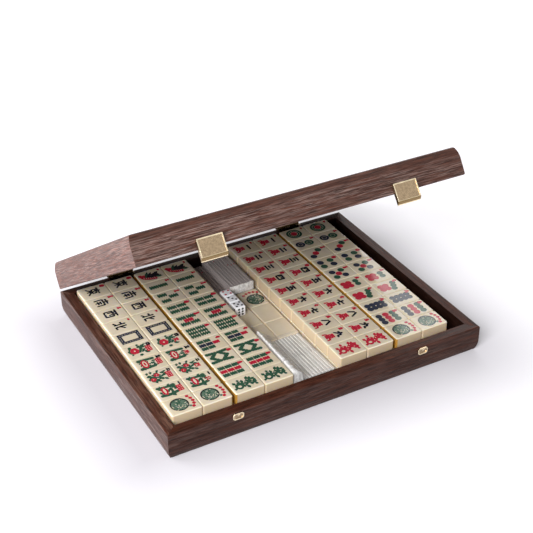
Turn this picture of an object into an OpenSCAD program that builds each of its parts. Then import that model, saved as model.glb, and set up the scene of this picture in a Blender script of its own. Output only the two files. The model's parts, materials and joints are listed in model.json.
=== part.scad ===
// Wooden mahjong case with its set inside: a shallow clamshell box with drawn-in
// sides, two butt hinges, two drop latches, four blocks of tiles, dice and counting sticks.
// Millimetres. Origin under the middle of the base, +Z up, the front of the case faces -Y.
// The lid is drawn closed and then turned open about the hinge pins by lid_rest_angle.

/* [Case] */
// Thickness of the four walls of the base and of the lid
wall_t = 11; // [9:0.5:14]
// Thickness of the plywood floor and of the lid's top panel
panel_t = 3.5; // [2.5:0.5:5]
// How far the panels reach into the rebate in the walls
panel_lap = 4; // [3:0.5:5]
// Height of the lid from its rim to its flat top
lid_h = 27.8; // [25:0.1:34]
// Height of the straight band next to the rim, before the walls draw in
straight_h = 16; // [12:0.5:18]
// How far the walls have drawn in where they reach the flat underside or top
draw_in = 2.7; // [1.5:0.1:3.5]
// Rounding where the walls meet the flat underside or top
edge_round = 2.5; // [1:0.1:3]
// Rounding of the outer edge of both rims
rim_round = 1.2; // [0.4:0.1:1.5]
// Gap between the two rims when the case is shut
seam_gap = 0.3; // [0.2:0.05:0.6]
// Angle that the lid stands open at rest
lid_rest_angle = 34; // [0:0.5:90]

/* [Room round the tiles] */
// Free room between the tiles and the left wall
left_room = 2; // [1:0.5:6]
// Free room between the tiles and the right wall
right_room = 14.8; // [8:0.2:20]
// Free room between the tiles and the front wall
front_room = 7.2; // [5:0.2:10]
// Free room between the tiles and the back wall
back_room = 0.8; // [0.4:0.2:8]
// Gap between the first and second block, and between the third and fourth
block_gap = 3; // [1:0.5:5]
// Room in the middle channel beside its two columns of tiles
channel_room = 4.8; // [4:0.4:10]

/* [Tiles] */
// Length of a tile
tile_l = 30; // [28:0.5:33]
// Width of a tile
tile_w = 22.8; // [20:0.2:24]
// Thickness of a tile
tile_t = 14; // [12:0.5:16]
// Rounding of a tile's upright edges
tile_round = 1.6; // [0.8:0.1:2.5]
// Chamfer round a tile's top and bottom
tile_chamfer = 0.8; // [0.4:0.1:1.2]
// Gap between neighbouring tiles
tile_gap = 0.2; // [0.1:0.05:0.4]
// Rows of tiles in a block, front to back
block_rows = 10; // [8:1:12]
// How far the top of the upper tiles stands above the base's rim
tile_proud = 3.5; // [1:0.5:6]
// Rows of tiles in the middle channel
centre_rows = 3; // [2:1:3]

/* [Dice and counting sticks] */
// Edge of a die
die = 11.8; // [8:0.2:13]
// Number of dice in the row
dice_count = 3; // [2:1:3]
// Distance from the second block to the dice
dice_in = 4.5; // [3:0.5:10]
// Distance from the back of the tiles in the middle channel to the dice on them
dice_back = 3; // [1:0.5:6]
// Gap between neighbouring dice
dice_gap = 0.4; // [0.2:0.1:2]
// Length of a counting stick
stick_l = 66; // [50:1:70]
// Width of a counting stick
stick_w = 3.3; // [2.5:0.1:4]
// Thickness of a counting stick
stick_t = 2.25; // [1.5:0.05:2.5]
// Gap between neighbouring sticks
stick_gap = 0.08; // [0.05:0.01:0.15]
// Layers of sticks in the front bundle
front_layers = 6; // [4:1:7]
// Layers of sticks in the tall part of the back bundle
back_layers = 10; // [6:1:10]
// Layers of sticks in the low part of the back bundle
low_layers = 6; // [3:1:7]
// Thickness of the clear film round a bundle
film_t = 0.3; // [0.2:0.05:0.5]

/* [Hinges] */
// Distance from the end of the case to the middle of a hinge
hinge_in = 67; // [45:1:90]
// Width of a hinge
hinge_w = 28; // [22:1:40]
// Outer diameter of a hinge knuckle
knuckle_d = 5; // [4.4:0.1:6]
// Diameter of a hinge pin
hinge_pin_d = 2.2; // [1.6:0.1:2.6]
// Thickness of a hinge leaf
leaf_t = 1; // [0.8:0.1:1.2]
// How far a leaf reaches in from the back of the case
leaf_reach = 8.5; // [7:0.5:10]
// Knuckles in a hinge, shared out between the two leaves
knuckles = 5; // [3:2:7]
// Distance between the two screws of a leaf
hinge_screw_pitch = 18; // [12:1:20]
// Length of a hinge screw
hinge_screw_l = 7; // [5:0.5:9]

/* [Latches] */
// Distance from the end of the case to the middle of a latch
latch_in = 68.5; // [45:0.5:90]
// Width of a latch flap
latch_w = 25; // [20:0.5:30]
// How far the flap reaches up over the lid from its rim
latch_up = 9.2; // [8:0.2:12]
// How far the flap's face reaches down past the lid's rim
latch_down = 8.4; // [8.2:0.1:11]
// Depth of the flap from its face to its inner edges
latch_depth = 3.2; // [3:0.1:4]
// Thickness of the sheet the latch is pressed from
sheet_t = 0.7; // [0.5:0.05:0.9]
// Width of the raised border on the flap
border_w = 1.1; // [0.8:0.1:1.6]
// Height of the raised border on the flap
border_h = 0.35; // [0.2:0.05:0.6]
// Angle that the flap stands off the lid at rest
latch_rest_angle = 4; // [3:0.5:8]
// Diameter of a latch pin
latch_pin_d = 1; // [0.8:0.05:1.1]

/* [Catches] */
// Width of a catch plate
catch_w = 11; // [9:0.5:14]
// Height of a catch plate
catch_h = 7; // [6:0.2:7.4]
// Distance from the base's rim down to the middle of a catch plate
catch_down = 4.3; // [4:0.1:4.4]
// Size of the clipped corners of a catch plate
catch_clip = 1.7; // [1:0.1:2]

/* [Hidden] */

// Running clearances, each taken on the radius or on one side
pin_clear = 0.05;
screw_clear = 0.08;
mortise_clear = 0.1;
knuckle_clear = 0.15;
latch_clear = 0.3;

// The tiles' places and the case that is built round them
row_pitch = tile_w + tile_gap;
column_pitch = tile_l + tile_gap;
block_w = 2 * tile_l + tile_gap;
block_d = block_rows * row_pitch - tile_gap;
channel_w = 2 * tile_w + channel_room;
set_w = 4 * block_w + 2 * block_gap + channel_w;
centre_d = centre_rows * column_pitch - tile_gap;
stick_end_room = 0.4;          // between the sticks and the tiles in the channel
stick_back_room = 1;           // between the back sticks and the back wall
stick_front_room = 6;          // how far the front sticks start behind the tiles' front
channel_d = front_room + stick_front_room + 2 * stick_l + 2 * stick_end_room + centre_d
    + stick_back_room;

inner_w = left_room + set_w + right_room;
inner_d = max(front_room + block_d + back_room, channel_d);
case_w = inner_w + 2 * wall_t;
case_d = inner_d + 2 * wall_t;
base_h = panel_t + 2 * tile_t - tile_proud;
lid_rim_z = base_h + seam_gap;
lid_top_z = lid_rim_z + lid_h;

set_x = -inner_w / 2 + left_room;
set_y = -inner_d / 2 + front_room;
floor_z = panel_t;
centre_top_z = floor_z + tile_t;
channel_x = set_x + 2 * block_w + block_gap;
centre_y = inner_d / 2 - stick_back_room - stick_l - stick_end_room - centre_d;
// Left edge of each block
block_x = [
    set_x,
    set_x + block_w + block_gap,
    channel_x + channel_w,
    channel_x + channel_w + block_w + block_gap
];

// Hinge pins: behind the back wall, halfway between the rims
hinge_y = case_d / 2 + knuckle_d / 2 + knuckle_clear;
hinge_z = base_h + seam_gap / 2;
hinge_x = [-case_w / 2 + hinge_in, case_w / 2 - hinge_in];
knuckle_w = hinge_w / knuckles;
hinge_screw_y = case_d / 2 - leaf_reach / 2 - 0.3;
hinge_screw_d = 1.8;
hinge_head_d = 3.6;
hinge_head_h = 0.9;
screw_slot = 0.5;

// Latch pins: in front of the lid's front wall, near the top of the flaps
latch_x = [-case_w / 2 + latch_in, case_w / 2 - latch_in];
latch_front_y = -case_d / 2 - latch_clear - latch_depth;
latch_knuckle_r = 1.1;
latch_pivot_y = -case_d / 2 - latch_clear - latch_knuckle_r;
latch_pivot_z = lid_rim_z + latch_up - latch_knuckle_r;
latch_ear_w = 6;               // width of each of the bracket's two knuckles
latch_ear_x = 6;               // distance of a knuckle's middle from the latch's middle
lip_drop = 2.6;                // how far the flap's sloping lip reaches below its face
bracket_t = 0.5;
bracket_down = 1;              // lower edge of the bracket, above the lid's rim
latch_screw_d = 1.4;
latch_screw_pitch = 13;
latch_screw_z = lid_rim_z + 4;
latch_screw_l = 6;

// Catches: on the base's front wall
catch_z = base_h - catch_down;
catch_t = 0.6;
catch_rim_w = 1.2;
catch_rim_h = 0.6;
catch_tab_w = 2.6;
catch_tab_h = 1.4;
catch_tab_t = 0.8;
catch_spur_d = 1;
catch_spur_l = 4;
catch_spur_pitch = 6;
stud_r = 0.8;
stud_z = catch_z + catch_h / 2 - catch_rim_w - catch_tab_h - latch_clear - stud_r;
stud_end_y = -case_d / 2 - catch_t - 0.5;

walnut = [0.30, 0.17, 0.12];
walnut_end = [0.52, 0.42, 0.39];
brass = [0.78, 0.64, 0.36];
ivory = [0.92, 0.86, 0.72];

// ---------------------------------------------------------------- placing

// Turns what is drawn for the shut lid to where the open lid is at rest
module on_lid() {
    translate([0, hinge_y, hinge_z])
        rotate([-lid_rest_angle, 0, 0])
            translate([0, -hinge_y, -hinge_z])
                children();
}

// Swings a flap that is drawn flat against the lid out to its rest angle
module on_latch() {
    translate([0, latch_pivot_y, latch_pivot_z])
        rotate([-latch_rest_angle, 0, 0])
            translate([0, -latch_pivot_y, -latch_pivot_z])
                children();
}

// ---------------------------------------------------------------- walls

// Section of a wall: x runs inwards from the outer face, y from the flat face to the rim
module wall_section(h) {
    curve_h = h - straight_h;
    curve_r = (curve_h * curve_h + draw_in * draw_in) / (2 * draw_in);
    // Where the edge's rounding meets the flat face, and the height up to which it reaches
    round_x = curve_r - sqrt((curve_r - edge_round) ^ 2 - (curve_h - edge_round) ^ 2);
    round_y = edge_round * (1 - (curve_h - edge_round) / (curve_r - edge_round));
    difference() {
        union() {
            translate([0, curve_h])
                square([wall_t, straight_h - rim_round]);
            translate([rim_round, h - rim_round])
                square([wall_t - rim_round, rim_round]);
            translate([rim_round, h - rim_round])
                circle(r = rim_round, $fn = 48);
            intersection() {
                translate([curve_r, curve_h])
                    circle(r = curve_r, $fn = 180);
                translate([0, round_y])
                    square([wall_t, curve_h - round_y]);
            }
            translate([round_x, 0])
                square([wall_t - round_x, curve_h]);
            translate([round_x, edge_round])
                circle(r = edge_round, $fn = 64);
        }
        // Rebate for the panel
        translate([wall_t - panel_lap, -1])
            square([panel_lap + 1, panel_t + 1]);
    }
}

// A wall along the front of a frame that is w wide and d deep, mitred at both ends
module mitred_wall(w, d, h) {
    intersection() {
        translate([-w / 2, -d / 2, 0])
            rotate([90, 0, 90])
                linear_extrude(w)
                    wall_section(h);
        linear_extrude(h)
            polygon([
                [-w / 2, -d / 2], [w / 2, -d / 2],
                [w / 2 - wall_t, -d / 2 + wall_t], [-w / 2 + wall_t, -d / 2 + wall_t]
            ]);
    }
}

module front_wall(h) mitred_wall(case_w, case_d, h);
module back_wall(h) mirror([0, 1, 0]) mitred_wall(case_w, case_d, h);
module left_wall(h) rotate([0, 0, -90]) mitred_wall(case_d, case_w, h);
module right_wall(h) mirror([1, 0, 0]) left_wall(h);

// Turns a base part over into the same part of the lid
module as_lid() translate([0, 0, lid_top_z]) mirror([0, 0, 1]) children();

// Flat panel that lies in the rebate of four walls
module panel() {
    w = inner_w + 2 * panel_lap;
    d = inner_d + 2 * panel_lap;
    translate([-w / 2, -d / 2, 0])
        cube([w, d, panel_t]);
}

module base_front_wall() {
    color(walnut)
        difference() {
            front_wall(base_h);
            for (x = latch_x, side = [-1, 1])
                translate([x + side * catch_spur_pitch / 2, -case_d / 2 - 1, catch_z])
                    rotate([-90, 0, 0])
                        cylinder(d = catch_spur_d + 2 * screw_clear, h = catch_spur_l + 1.5, $fn = 24);
        }
}

module base_back_wall() {
    color(walnut)
        difference() {
            back_wall(base_h);
            hinge_mortises(base_h - leaf_t);
            hinge_screw_places()
                translate([0, 0, base_h - hinge_screw_l - 0.5])
                    cylinder(d = hinge_screw_d + 2 * screw_clear, h = hinge_screw_l + 1, $fn = 24);
        }
}

module base_left_wall() color(walnut_end) left_wall(base_h);
module base_right_wall() color(walnut) right_wall(base_h);
module base_floor_panel() color(walnut) panel();

module lid_front_wall() {
    color(walnut)
        on_lid()
            difference() {
                as_lid() front_wall(lid_h);
                latch_screw_places()
                    rotate([-90, 0, 0])
                        translate([0, 0, -1])
                            cylinder(d = latch_screw_d + 2 * screw_clear, h = latch_screw_l + 1, $fn = 24);
            }
}

module lid_back_wall() {
    color(walnut)
        on_lid()
            difference() {
                as_lid() back_wall(lid_h);
                hinge_mortises(lid_rim_z - 1);
                hinge_screw_places()
                    translate([0, 0, lid_rim_z - 0.5])
                        cylinder(d = hinge_screw_d + 2 * screw_clear, h = hinge_screw_l + 1, $fn = 24);
            }
}

module lid_left_wall() color(walnut_end) on_lid() as_lid() left_wall(lid_h);
module lid_right_wall() color(walnut) on_lid() as_lid() right_wall(lid_h);
module lid_top_panel() color(walnut) on_lid() as_lid() panel();

// ---------------------------------------------------------------- hinges

// Pockets in a rim for both leaves, from height z up, one leaf thickness and 1 mm of air high
module hinge_mortises(z) {
    for (x = hinge_x)
        translate([x - hinge_w / 2 - mortise_clear, case_d / 2 - leaf_reach - mortise_clear, z])
            cube([hinge_w + 2 * mortise_clear, leaf_reach + mortise_clear + 1, leaf_t + 1]);
}

module hinge_screw_places()
    for (x = hinge_x, side = [-1, 1])
        translate([x + side * hinge_screw_pitch / 2, hinge_screw_y, 0])
            children();

// A leaf at the origin of its pin, lying under the pin's plane; first is 0 or 1 and says
// which of the alternating knuckles belong to it
module hinge_leaf(first) {
    r = knuckle_d / 2;
    front = -(hinge_y - case_d / 2) - leaf_reach;
    top = -seam_gap / 2;
    difference() {
        union() {
            // Plate, flush with the back of the case
            translate([-hinge_w / 2, front, top - leaf_t])
                cube([hinge_w, leaf_reach, leaf_t]);
            for (i = [first : 2 : knuckles - 1])
                translate([-hinge_w / 2 + i * knuckle_w + knuckle_clear / 2, 0, 0]) {
                    w = knuckle_w - knuckle_clear;
                    rotate([0, 90, 0])
                        cylinder(r = r, h = w, $fn = 48);
                    // The plate runs on into the rolled knuckle
                    translate([0, -r - 2 * knuckle_clear, top - leaf_t])
                        cube([w, r + 2 * knuckle_clear - hinge_pin_d / 2, leaf_t]);
                }
        }
        translate([-hinge_w / 2 - 1, 0, 0])
            rotate([0, 90, 0])
                cylinder(d = hinge_pin_d + 2 * pin_clear, h = hinge_w + 2, $fn = 48);
        for (side = [-1, 1])
            translate([side * hinge_screw_pitch / 2, hinge_screw_y - hinge_y, top])
                screw_hole();
    }
}

// Countersunk hole through a leaf whose face is at z = 0
module screw_hole() {
    translate([0, 0, -leaf_t - 1])
        cylinder(d = hinge_screw_d + 2 * screw_clear, h = leaf_t + 2, $fn = 24);
    translate([0, 0, -hinge_head_h])
        cylinder(
            d1 = hinge_screw_d + 2 * screw_clear, d2 = hinge_head_d + 2 * screw_clear,
            h = hinge_head_h, $fn = 32
        );
    cylinder(d = hinge_head_d + 2 * screw_clear, h = 1, $fn = 32);
}

// Countersunk wood screw whose head is flush with z = 0
module hinge_screw() {
    point = 1.6;
    difference() {
        rotate_extrude($fn = 32)
            polygon([
                [0, 0], [hinge_head_d / 2, 0], [hinge_screw_d / 2, -hinge_head_h],
                [hinge_screw_d / 2, -hinge_screw_l + point], [0.2, -hinge_screw_l], [0, -hinge_screw_l]
            ]);
        translate([-hinge_head_d / 2, -screw_slot / 2, -screw_slot])
            cube([hinge_head_d, screw_slot, 1]);
    }
}

module base_leaf(x) color(brass) translate([x, hinge_y, hinge_z]) hinge_leaf(0);
module lid_leaf(x)
    color(brass) on_lid() translate([x, hinge_y, hinge_z]) mirror([0, 0, 1]) hinge_leaf(1);

// Pin with a small domed head at each end, clear of the outer knuckles
module hinge_pin(x) {
    head_r = hinge_pin_d / 2 + 0.6;
    head_h = 0.9;
    color(brass)
        translate([x, hinge_y, hinge_z])
            rotate([0, 90, 0])
                rotate_extrude($fn = 48) {
                    translate([0, -hinge_w / 2 - 0.1])
                        square([hinge_pin_d / 2, hinge_w + 0.2]);
                    for (side = [0, 1])
                        mirror([0, side])
                            translate([0, hinge_w / 2 + 0.05])
                                intersection() {
                                    square([head_r, head_h]);
                                    translate([0, head_h - 2])
                                        circle(r = 2, $fn = 64);
                                }
                }
}

module hinge_left_base_leaf() base_leaf(hinge_x[0]);
module hinge_right_base_leaf() base_leaf(hinge_x[1]);
module hinge_left_lid_leaf() lid_leaf(hinge_x[0]);
module hinge_right_lid_leaf() lid_leaf(hinge_x[1]);
module hinge_left_pin() hinge_pin(hinge_x[0]);
module hinge_right_pin() hinge_pin(hinge_x[1]);
module base_hinge_screws()
    color(brass) hinge_screw_places() translate([0, 0, base_h]) hinge_screw();
module lid_hinge_screws()
    color(brass)
        on_lid() hinge_screw_places() translate([0, 0, lid_rim_z]) mirror([0, 0, 1]) hinge_screw();

// ---------------------------------------------------------------- latches

module latch_screw_places()
    for (x = latch_x, side = [-1, 1])
        translate([x + side * latch_screw_pitch / 2, -case_d / 2, latch_screw_z])
            children();

// Back plate that is screwed to the lid, with two knuckles for the pin
module latch_bracket(x) {
    w = 2 * latch_ear_x + latch_ear_w;
    bottom = lid_rim_z + bracket_down;
    color(brass)
        on_lid()
            translate([x, 0, 0])
                difference() {
                    union() {
                        translate([-w / 2, -case_d / 2 - bracket_t, bottom])
                            cube([w, bracket_t, latch_pivot_z - latch_knuckle_r - bottom]);
                        for (side = [-1, 1])
                            translate([side * latch_ear_x - latch_ear_w / 2, 0, 0]) {
                                translate([0, latch_pivot_y, latch_pivot_z])
                                    rotate([0, 90, 0])
                                        cylinder(r = latch_knuckle_r, h = latch_ear_w, $fn = 40);
                                neck_y = latch_pivot_y + latch_pin_d / 2 + pin_clear;
                                translate([0, neck_y, latch_pivot_z - latch_knuckle_r])
                                    cube([latch_ear_w, -case_d / 2 - neck_y, latch_knuckle_r]);
                            }
                    }
                    translate([-w / 2 - 1, latch_pivot_y, latch_pivot_z])
                        rotate([0, 90, 0])
                            cylinder(d = latch_pin_d + 2 * pin_clear, h = w + 2, $fn = 32);
                    for (side = [-1, 1])
                        translate([side * latch_screw_pitch / 2, -case_d / 2 - 1, latch_screw_z])
                            rotate([-90, 0, 0])
                                cylinder(d = latch_screw_d + 2 * screw_clear, h = 2, $fn = 24);
                }
}

// Round-headed brass pin nail that holds the bracket, its head towards -Y
module latch_screw() {
    rotate([-90, 0, 0])
        translate([0, 0, -bracket_t])
            rotate_extrude($fn = 32) {
                intersection() {
                    translate([0, 1.1])
                        circle(r = 1.7, $fn = 48);
                    translate([0, -0.6])
                        square([1.6, 0.6]);
                }
                square([latch_screw_d / 2, latch_screw_l]);
            }
}

module latch_pin(x) {
    color(brass)
        on_lid()
            translate([x - latch_w / 2 + 0.1, latch_pivot_y, latch_pivot_z])
                rotate([0, 90, 0])
                    cylinder(d = latch_pin_d, h = latch_w - 0.2, $fn = 32);
}

// Side view of the flap: x is the case's y and y is the case's z, both from the pivot
module flap_side() {
    front = latch_front_y - latch_pivot_y;
    bottom = -(latch_up - latch_knuckle_r) - latch_down;
    difference() {
        union() {
            polygon([
                [front, latch_knuckle_r], [front, bottom],
                [front + lip_drop, bottom - lip_drop], [latch_knuckle_r, bottom - lip_drop],
                [latch_knuckle_r, 0], [0, latch_knuckle_r]
            ]);
            circle(r = latch_knuckle_r, $fn = 40);
        }
        circle(d = latch_pin_d + 2 * pin_clear, $fn = 32);
    }
}

// The pressed face with its sloping lip, as a band of sheet in the same side view
module flap_band() {
    front = latch_front_y - latch_pivot_y;
    bottom = -(latch_up - latch_knuckle_r) - latch_down;
    back = front + sheet_t;
    polygon([
        [front, latch_knuckle_r], [front, bottom], [front + lip_drop, bottom - lip_drop],
        [back + lip_drop, bottom - lip_drop], [back, bottom + 0.3], [back, latch_knuckle_r]
    ]);
}

module along_x(w) translate([-w / 2, 0, 0]) rotate([90, 0, 90]) linear_extrude(w) children();

// Drop flap: pressed face with a raised border, folded sides, sloping lip and inner stud
module latch_flap(x) {
    face_h = latch_up + latch_down;
    color(brass)
        on_lid()
            on_latch()
                translate([x, 0, 0]) {
                    translate([0, latch_pivot_y, latch_pivot_z]) {
                        along_x(latch_w)
                            flap_band();
                        for (side = [-1, 1])
                            translate([side * (latch_w - sheet_t) / 2, 0, 0])
                                along_x(sheet_t)
                                    flap_side();
                    }
                    translate([0, latch_front_y, lid_rim_z - latch_down])
                        rotate([90, 0, 0])
                            linear_extrude(border_h)
                                difference() {
                                    translate([-latch_w / 2, 0])
                                        square([latch_w, face_h]);
                                    translate([-latch_w / 2 + border_w, border_w])
                                        square([latch_w - 2 * border_w, face_h - 2 * border_w]);
                                }
                    translate([0, latch_front_y + sheet_t / 2, stud_z])
                        rotate([-90, 0, 0])
                            cylinder(
                                r = stud_r, h = stud_end_y - latch_front_y - sheet_t / 2, $fn = 32
                            );
                }
}

module latch_left_bracket() latch_bracket(latch_x[0]);
module latch_right_bracket() latch_bracket(latch_x[1]);
module latch_left_pin() latch_pin(latch_x[0]);
module latch_right_pin() latch_pin(latch_x[1]);
module latch_left_flap() latch_flap(latch_x[0]);
module latch_right_flap() latch_flap(latch_x[1]);
module latch_screws() color(brass) on_lid() latch_screw_places() latch_screw();

// ---------------------------------------------------------------- catches

// Rectangle about the origin with clipped corners
module clipped(w, h, clip) {
    x = w / 2;
    y = h / 2;
    polygon([
        [-x + clip, -y], [x - clip, -y], [x, -y + clip], [x, y - clip],
        [x - clip, y], [-x + clip, y], [-x, y - clip], [-x, -y + clip]
    ]);
}

// Small plate with a raised rim, a tab in its recess and two spurs into the wall
module catch_plate(x) {
    color(brass)
        translate([x, -case_d / 2, catch_z]) {
            rotate([90, 0, 0]) {
                linear_extrude(catch_t)
                    clipped(catch_w, catch_h, catch_clip);
                linear_extrude(catch_t + catch_rim_h)
                    difference() {
                        clipped(catch_w, catch_h, catch_clip);
                        clipped(
                            catch_w - 2 * catch_rim_w, catch_h - 2 * catch_rim_w,
                            catch_clip - catch_rim_w / 2
                        );
                    }
                translate([-catch_tab_w / 2, catch_h / 2 - catch_rim_w - catch_tab_h, 0])
                    cube([catch_tab_w, catch_tab_h + catch_rim_w / 2, catch_t + catch_tab_t]);
            }
            for (side = [-1, 1])
                translate([side * catch_spur_pitch / 2, -catch_t / 2, 0])
                    rotate([-90, 0, 0])
                        cylinder(d = catch_spur_d, h = catch_spur_l + catch_t / 2, $fn = 24);
        }
}

module catch_left_plate() catch_plate(latch_x[0]);
module catch_right_plate() catch_plate(latch_x[1]);

// ---------------------------------------------------------------- tiles, dice and sticks

// Rectangle from the origin with four cut corners
module cut_rectangle(a, b, cut) {
    polygon([
        [cut, 0], [a - cut, 0], [a, cut], [a, b - cut],
        [a - cut, b], [cut, b], [0, b - cut], [0, cut]
    ]);
}

// Rectangle from the origin with four round corners
module round_rectangle(a, b, r) {
    translate([r, 0])
        square([a - 2 * r, b]);
    translate([0, r])
        square([a, b - 2 * r]);
    for (x = [r, a - r], y = [r, b - r])
        translate([x, y])
            circle(r = r, $fn = 32);
}

// One tile that is l along X and w along Y, standing on z = 0
module tile(l, w) {
    intersection() {
        linear_extrude(tile_t)
            round_rectangle(l, w, tile_round);
        translate([0, w, 0])
            rotate([90, 0, 0])
                linear_extrude(w)
                    cut_rectangle(l, tile_t, tile_chamfer);
        rotate([90, 0, 90])
            linear_extrude(l)
                cut_rectangle(w, tile_t, tile_chamfer);
    }
}

// Two columns of tiles in one layer of a block
module tile_layer(block, layer) {
    color(ivory)
        for (column = [0, 1], row = [0 : block_rows - 1])
            translate([
                block_x[block] + column * column_pitch,
                set_y + row * row_pitch,
                floor_z + layer * tile_t
            ])
                tile(tile_l, tile_w);
}

module tiles_block_1_upper() tile_layer(0, 1);
module tiles_block_1_lower() tile_layer(0, 0);
module tiles_block_2_upper() tile_layer(1, 1);
module tiles_block_2_lower() tile_layer(1, 0);
module tiles_block_3_upper() tile_layer(2, 1);
module tiles_block_3_lower() tile_layer(2, 0);
module tiles_block_4_upper() tile_layer(3, 1);
module tiles_block_4_lower() tile_layer(3, 0);

// Two columns of tiles in the middle channel, turned to lie lengthwise in it
module centre_tiles() {
    column_room = channel_room / 5;
    color(ivory)
        for (column = [0, 1], row = [0 : centre_rows - 1])
            translate([
                channel_x + 2 * column_room + column * (tile_w + column_room),
                centre_y + row * column_pitch,
                floor_z
            ])
                tile(tile_w, tile_l);
}

// Dice in a row along the left of the channel, on the tiles
module dice() {
    back = centre_y + centre_d - dice_back;
    color("white")
        for (i = [0 : dice_count - 1])
            translate([channel_x + dice_in, back - die - i * (die + dice_gap), centre_top_z])
                intersection() {
                    linear_extrude(die)
                        cut_rectangle(die, die, die / 9);
                    translate([0, die, 0])
                        rotate([90, 0, 0])
                            linear_extrude(die)
                                cut_rectangle(die, die, die / 9);
                }
}

stick_pitch = stick_w + stick_gap;
layer_pitch = stick_t + stick_gap;
front_across = floor((channel_w - channel_room) / stick_pitch);
back_across = 8;
low_across = 4;
back_sticks_x = channel_x + channel_w - channel_room - back_across * stick_pitch;
low_sticks_x = back_sticks_x - film_t - 2 * stick_gap - low_across * stick_pitch;
front_sticks_x = channel_x + (channel_w - front_across * stick_pitch) / 2;
front_sticks_y = set_y + stick_front_room;
back_sticks_y = inner_d / 2 - stick_back_room - stick_l;

// Stack of sticks that lie along Y
module stick_stack(x, y, across, layers) {
    for (i = [0 : across - 1], k = [0 : layers - 1])
        translate([x + i * stick_pitch, y, floor_z + film_t + k * layer_pitch])
            cube([stick_w, stick_l, stick_t]);
}

module front_sticks()
    color("gainsboro") stick_stack(front_sticks_x, front_sticks_y, front_across, front_layers);

module back_sticks() {
    color("gainsboro") {
        stick_stack(back_sticks_x, back_sticks_y, back_across, back_layers);
        stick_stack(low_sticks_x, back_sticks_y, low_across, low_layers);
    }
}

// Section of a film sleeve round a stack of sticks, with room of one stick gap
module sleeve_section(across, layers) {
    w = across * stick_pitch + stick_gap;
    h = layers * layer_pitch + stick_gap;
    difference() {
        translate([-stick_gap - film_t, -film_t])
            square([w + stick_gap + 2 * film_t, h + 2 * film_t]);
        translate([-stick_gap, -stick_gap / 2])
            square([w + stick_gap, h + stick_gap / 2]);
    }
}

// Film sleeve that is open at both ends
module stick_film(x, y, across, layers)
    color("whitesmoke", 0.4)
        translate([x, y + stick_l, floor_z + film_t])
            rotate([90, 0, 0])
                linear_extrude(stick_l)
                    sleeve_section(across, layers);

module front_stick_film()
    stick_film(front_sticks_x, front_sticks_y, front_across, front_layers);
module back_stick_film()
    stick_film(back_sticks_x, back_sticks_y, back_across, back_layers);

base_front_wall();
base_back_wall();
base_left_wall();
base_right_wall();
base_floor_panel();
lid_front_wall();
lid_back_wall();
lid_left_wall();
lid_right_wall();
lid_top_panel();
hinge_left_base_leaf();
hinge_right_base_leaf();
hinge_left_lid_leaf();
hinge_right_lid_leaf();
hinge_left_pin();
hinge_right_pin();
base_hinge_screws();
lid_hinge_screws();
latch_left_bracket();
latch_right_bracket();
latch_left_pin();
latch_right_pin();
latch_left_flap();
latch_right_flap();
latch_screws();
catch_left_plate();
catch_right_plate();
tiles_block_1_upper();
tiles_block_1_lower();
tiles_block_2_upper();
tiles_block_2_lower();
tiles_block_3_upper();
tiles_block_3_lower();
tiles_block_4_upper();
tiles_block_4_lower();
centre_tiles();
dice();
front_sticks();
back_sticks();
front_stick_film();
back_stick_film();
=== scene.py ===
# %% [markdown]
# # A wooden mahjong case and its set
# The object is a shallow walnut box with a hinged lid, two brass drop latches and two catches.
# Inside lie four blocks of tiles, three dice and two bundles of counting sticks.
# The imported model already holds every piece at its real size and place, in metres, so this
# lesson only gives the pieces their looks. First it loads that model and notes its outer box,
# because nothing that is made here may grow past it.

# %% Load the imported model
import json
import math
import random

import bmesh
import bpy
from mathutils import Matrix, Vector, geometry, noise

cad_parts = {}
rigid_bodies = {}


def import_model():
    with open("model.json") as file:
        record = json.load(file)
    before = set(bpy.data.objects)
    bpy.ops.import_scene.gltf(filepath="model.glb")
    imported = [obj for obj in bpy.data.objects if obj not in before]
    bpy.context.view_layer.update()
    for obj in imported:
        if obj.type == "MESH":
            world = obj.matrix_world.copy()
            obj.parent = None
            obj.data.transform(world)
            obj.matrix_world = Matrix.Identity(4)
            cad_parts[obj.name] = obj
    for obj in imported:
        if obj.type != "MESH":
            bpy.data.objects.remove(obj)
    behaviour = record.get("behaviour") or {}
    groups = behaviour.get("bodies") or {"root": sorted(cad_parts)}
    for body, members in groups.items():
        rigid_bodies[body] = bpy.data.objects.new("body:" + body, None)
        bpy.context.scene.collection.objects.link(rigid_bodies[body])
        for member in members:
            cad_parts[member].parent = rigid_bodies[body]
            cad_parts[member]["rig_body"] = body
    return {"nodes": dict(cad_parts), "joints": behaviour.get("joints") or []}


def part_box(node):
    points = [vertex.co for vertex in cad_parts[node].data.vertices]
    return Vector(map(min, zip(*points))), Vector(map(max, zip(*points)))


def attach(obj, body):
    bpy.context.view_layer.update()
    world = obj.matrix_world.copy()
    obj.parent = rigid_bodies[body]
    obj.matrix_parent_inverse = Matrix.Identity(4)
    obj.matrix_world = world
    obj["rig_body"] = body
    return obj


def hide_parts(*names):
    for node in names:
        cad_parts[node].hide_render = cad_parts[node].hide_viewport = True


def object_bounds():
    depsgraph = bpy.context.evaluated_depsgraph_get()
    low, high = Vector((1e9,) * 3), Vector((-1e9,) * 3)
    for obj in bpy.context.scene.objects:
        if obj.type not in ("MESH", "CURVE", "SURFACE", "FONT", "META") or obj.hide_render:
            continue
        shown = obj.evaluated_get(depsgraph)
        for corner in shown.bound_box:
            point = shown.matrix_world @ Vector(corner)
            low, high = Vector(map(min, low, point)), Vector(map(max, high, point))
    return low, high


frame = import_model()
nodes = frame["nodes"]
MM = 0.001
cad_lo, cad_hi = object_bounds()
print("CAD box in mm:", [round(x / MM, 1) for x in (*cad_lo, *cad_hi)])

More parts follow.
